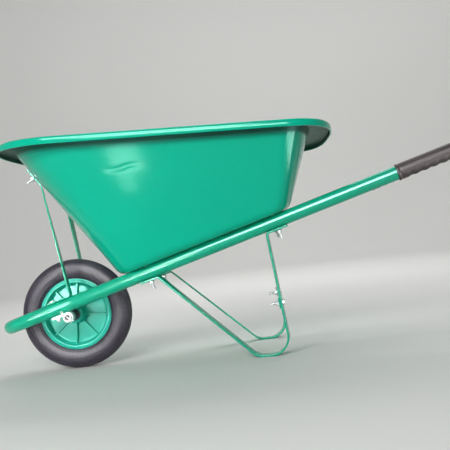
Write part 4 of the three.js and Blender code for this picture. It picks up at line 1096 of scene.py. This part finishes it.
# ---- all the bolts
for side, hand in SIDES:
    for end, s in (("front", FRONT_TRAY_BOLT), ("back", BACK_TRAY_BOLT)):
        floor_top = floor_bottom + TRAY_WALL
        stack = floor_top - leg_top + LEG_THICKNESS
        up = rail_vector(UPWARD, hand)
        fasten(f"{end}_{side}", "tray", rail(np.array([s, 0, floor_top]), hand), up, stack, washer=True)
    seat, _, ahead = brace_seat()
    behind = rail(seat - ahead * LEG_THICKNESS / 2, hand)
    stack = LEG_THICKNESS + FACE_GAP + BRACE_THICKNESS
    fasten(side, "brace", behind, -rail_vector(ahead, hand), stack, hex_head=True)
    point, _, out = strut_seat(hand)
    origin = chassis(np.zeros(3))
    inside = chassis(point - out * (TRAY_WALL + 2 * FACE_GAP))
    stack = TRAY_WALL + STRUT_THICKNESS + STRUT_BOLT_SPARE
    fasten(side, "strut", inside, -(chassis(out) - origin), stack, washer=True)
    foot_top = floor_bottom + STRUT_THICKNESS
    clip_bottom = -axle_drop + clip_eye - CLIP_THICKNESS
    at = chassis(np.array([-CLIP_BOLT_AHEAD, hand * FORK_HALF, foot_top]))
    up = chassis(UPWARD) - origin
    fasten(side, "clip", at, up, foot_top - clip_bottom, tail=CLIP_BOLT_TAIL)


# ---- floor, light and camera
def room():
    """A pale floor that curves up all round into a backdrop, as paper does in a round studio."""
    floor_radius, curve, top, sides, sink = 4.4, 1.8, 5.0, 96, 0.0005
    angle = np.linspace(0, math.pi / 2, 24)
    bend = np.stack([floor_radius + curve * np.sin(angle), curve * (1 - np.cos(angle))], axis=-1)
    profile = np.vstack([[[1.5, 0.0], [3.0, 0.0]], bend, [[floor_radius + curve, top]]])
    rows = spin(profile, sides) - [0, 0, sink]
    index = np.arange(rows.shape[0] * sides).reshape(-1, sides)
    beside = np.roll(index, -1, axis=1)
    corners = index[:-1], index[1:], beside[1:], beside[:-1]
    mesh = bpy.data.meshes.new("studio_paper")
    faces = np.stack(corners, axis=-1).reshape(-1, 4).tolist() + [index[0].tolist()]
    mesh.from_pydata(rows.reshape(-1, 3).tolist(), [], faces)
    mesh.shade_smooth()
    material = bpy.data.materials.new("studio_paper")
    material.use_nodes = True
    shader = material.node_tree.nodes["Principled BSDF"]
    shader.inputs["Base Color"].default_value = (0.74, 0.74, 0.72, 1)
    shader.inputs["Roughness"].default_value = 0.85
    shader.inputs["Specular IOR Level"].default_value = 0.0
    mesh.materials.append(material)
    paper = bpy.data.objects.new("studio_paper", mesh)
    bpy.context.scene.collection.objects.link(paper)


def soft_light(name, at, target, size, power, opening=180, shine_only=False):
    """A rectangular softbox; `opening` in degrees is how widely its light spreads, and one that is
    for shine only is seen in reflections and lights nothing else."""
    lamp = bpy.data.lights.new(name, "AREA")
    lamp.shape, lamp.size, lamp.size_y = "RECTANGLE", size[0], size[1]
    lamp.energy, lamp.spread = power, math.radians(opening)
    light = bpy.data.objects.new(name, lamp)
    bpy.context.scene.collection.objects.link(light)
    light.visible_diffuse = not shine_only
    light.location = at
    light.rotation_euler = (Vector(target) - Vector(at)).to_track_quat("-Z", "Y").to_euler()


def camera():
    """Level with the tray, off the left side, and turned a little about its own axis."""
    made = bpy.data.objects.new("camera", bpy.data.cameras.new("camera"))
    bpy.context.scene.collection.objects.link(made)
    made.location = ((AXLE[0] + VIEW_BEHIND_AXLE) / MM_PER_M, -VIEW_AWAY, VIEW_HEIGHT)
    made.rotation_mode = "QUATERNION"
    level = Matrix.Rotation(math.pi / 2, 3, "X")
    made.rotation_quaternion = (level @ Matrix.Rotation(VIEW_ROLL, 3, "Z")).to_quaternion()
    made.data.lens, made.data.sensor_width = 54.0, 36.0
    made.data.shift_x, made.data.shift_y = -0.0828, 0.0142
    made.data.clip_start, made.data.clip_end = 0.05, 100
    bpy.context.scene.camera = made


def world_light():
    """A weak, faintly blue light from all round."""
    world = bpy.data.worlds.new("room_light")
    world.use_nodes = True
    world.node_tree.nodes["Background"].inputs["Color"].default_value = (0.93, 0.96, 1.0, 1)
    world.node_tree.nodes["Background"].inputs["Strength"].default_value = 0.22
    bpy.context.scene.world = world


camera()
room()
world_light()
soft_light("key", (-0.9, -2.9, 1.8), (0.0, 0.0, 0.35), (2.2, 0.5), 68)
soft_light("rail_card", (-0.9, -2.9, 1.9), (0.0, 0.0, 0.35), (2.2, 1.5), 130, shine_only=True)
soft_light("lip_card", (-0.18, -2.7, 0.96), (0.0, -0.3, 0.6), (1.44, 0.36), 46, shine_only=True)
soft_light("patch_card", (-0.355, -0.85, 0.225), (-0.2, -0.25, 0.52), (0.105, 0.11), 0.4, shine_only=True)
soft_light("patch_tail", (-0.375, -0.85, 0.13), (-0.2, -0.25, 0.45), (0.05, 0.08), 0.09, shine_only=True)
soft_light("corner_card", (1.05, -0.75, 0.12), (0.21, -0.25, 0.54), (1.1, 0.24), 11.0, shine_only=True)
soft_light("wheel_card", (-1.16, -2.2, 0.14), (-0.44, 0.0, 0.17), (0.3, 0.22), 1.0, opening=40)
soft_light("top", (0.3, 1.6, 3.0), (0.1, 0.3, 0.0), (3.0, 2.0), 44)
soft_light("backdrop", (0.2, 2.2, 3.6), (0.2, 5.6, 1.0), (3.0, 0.6), 80)
bpy.context.scene.view_settings.view_transform = "Standard"
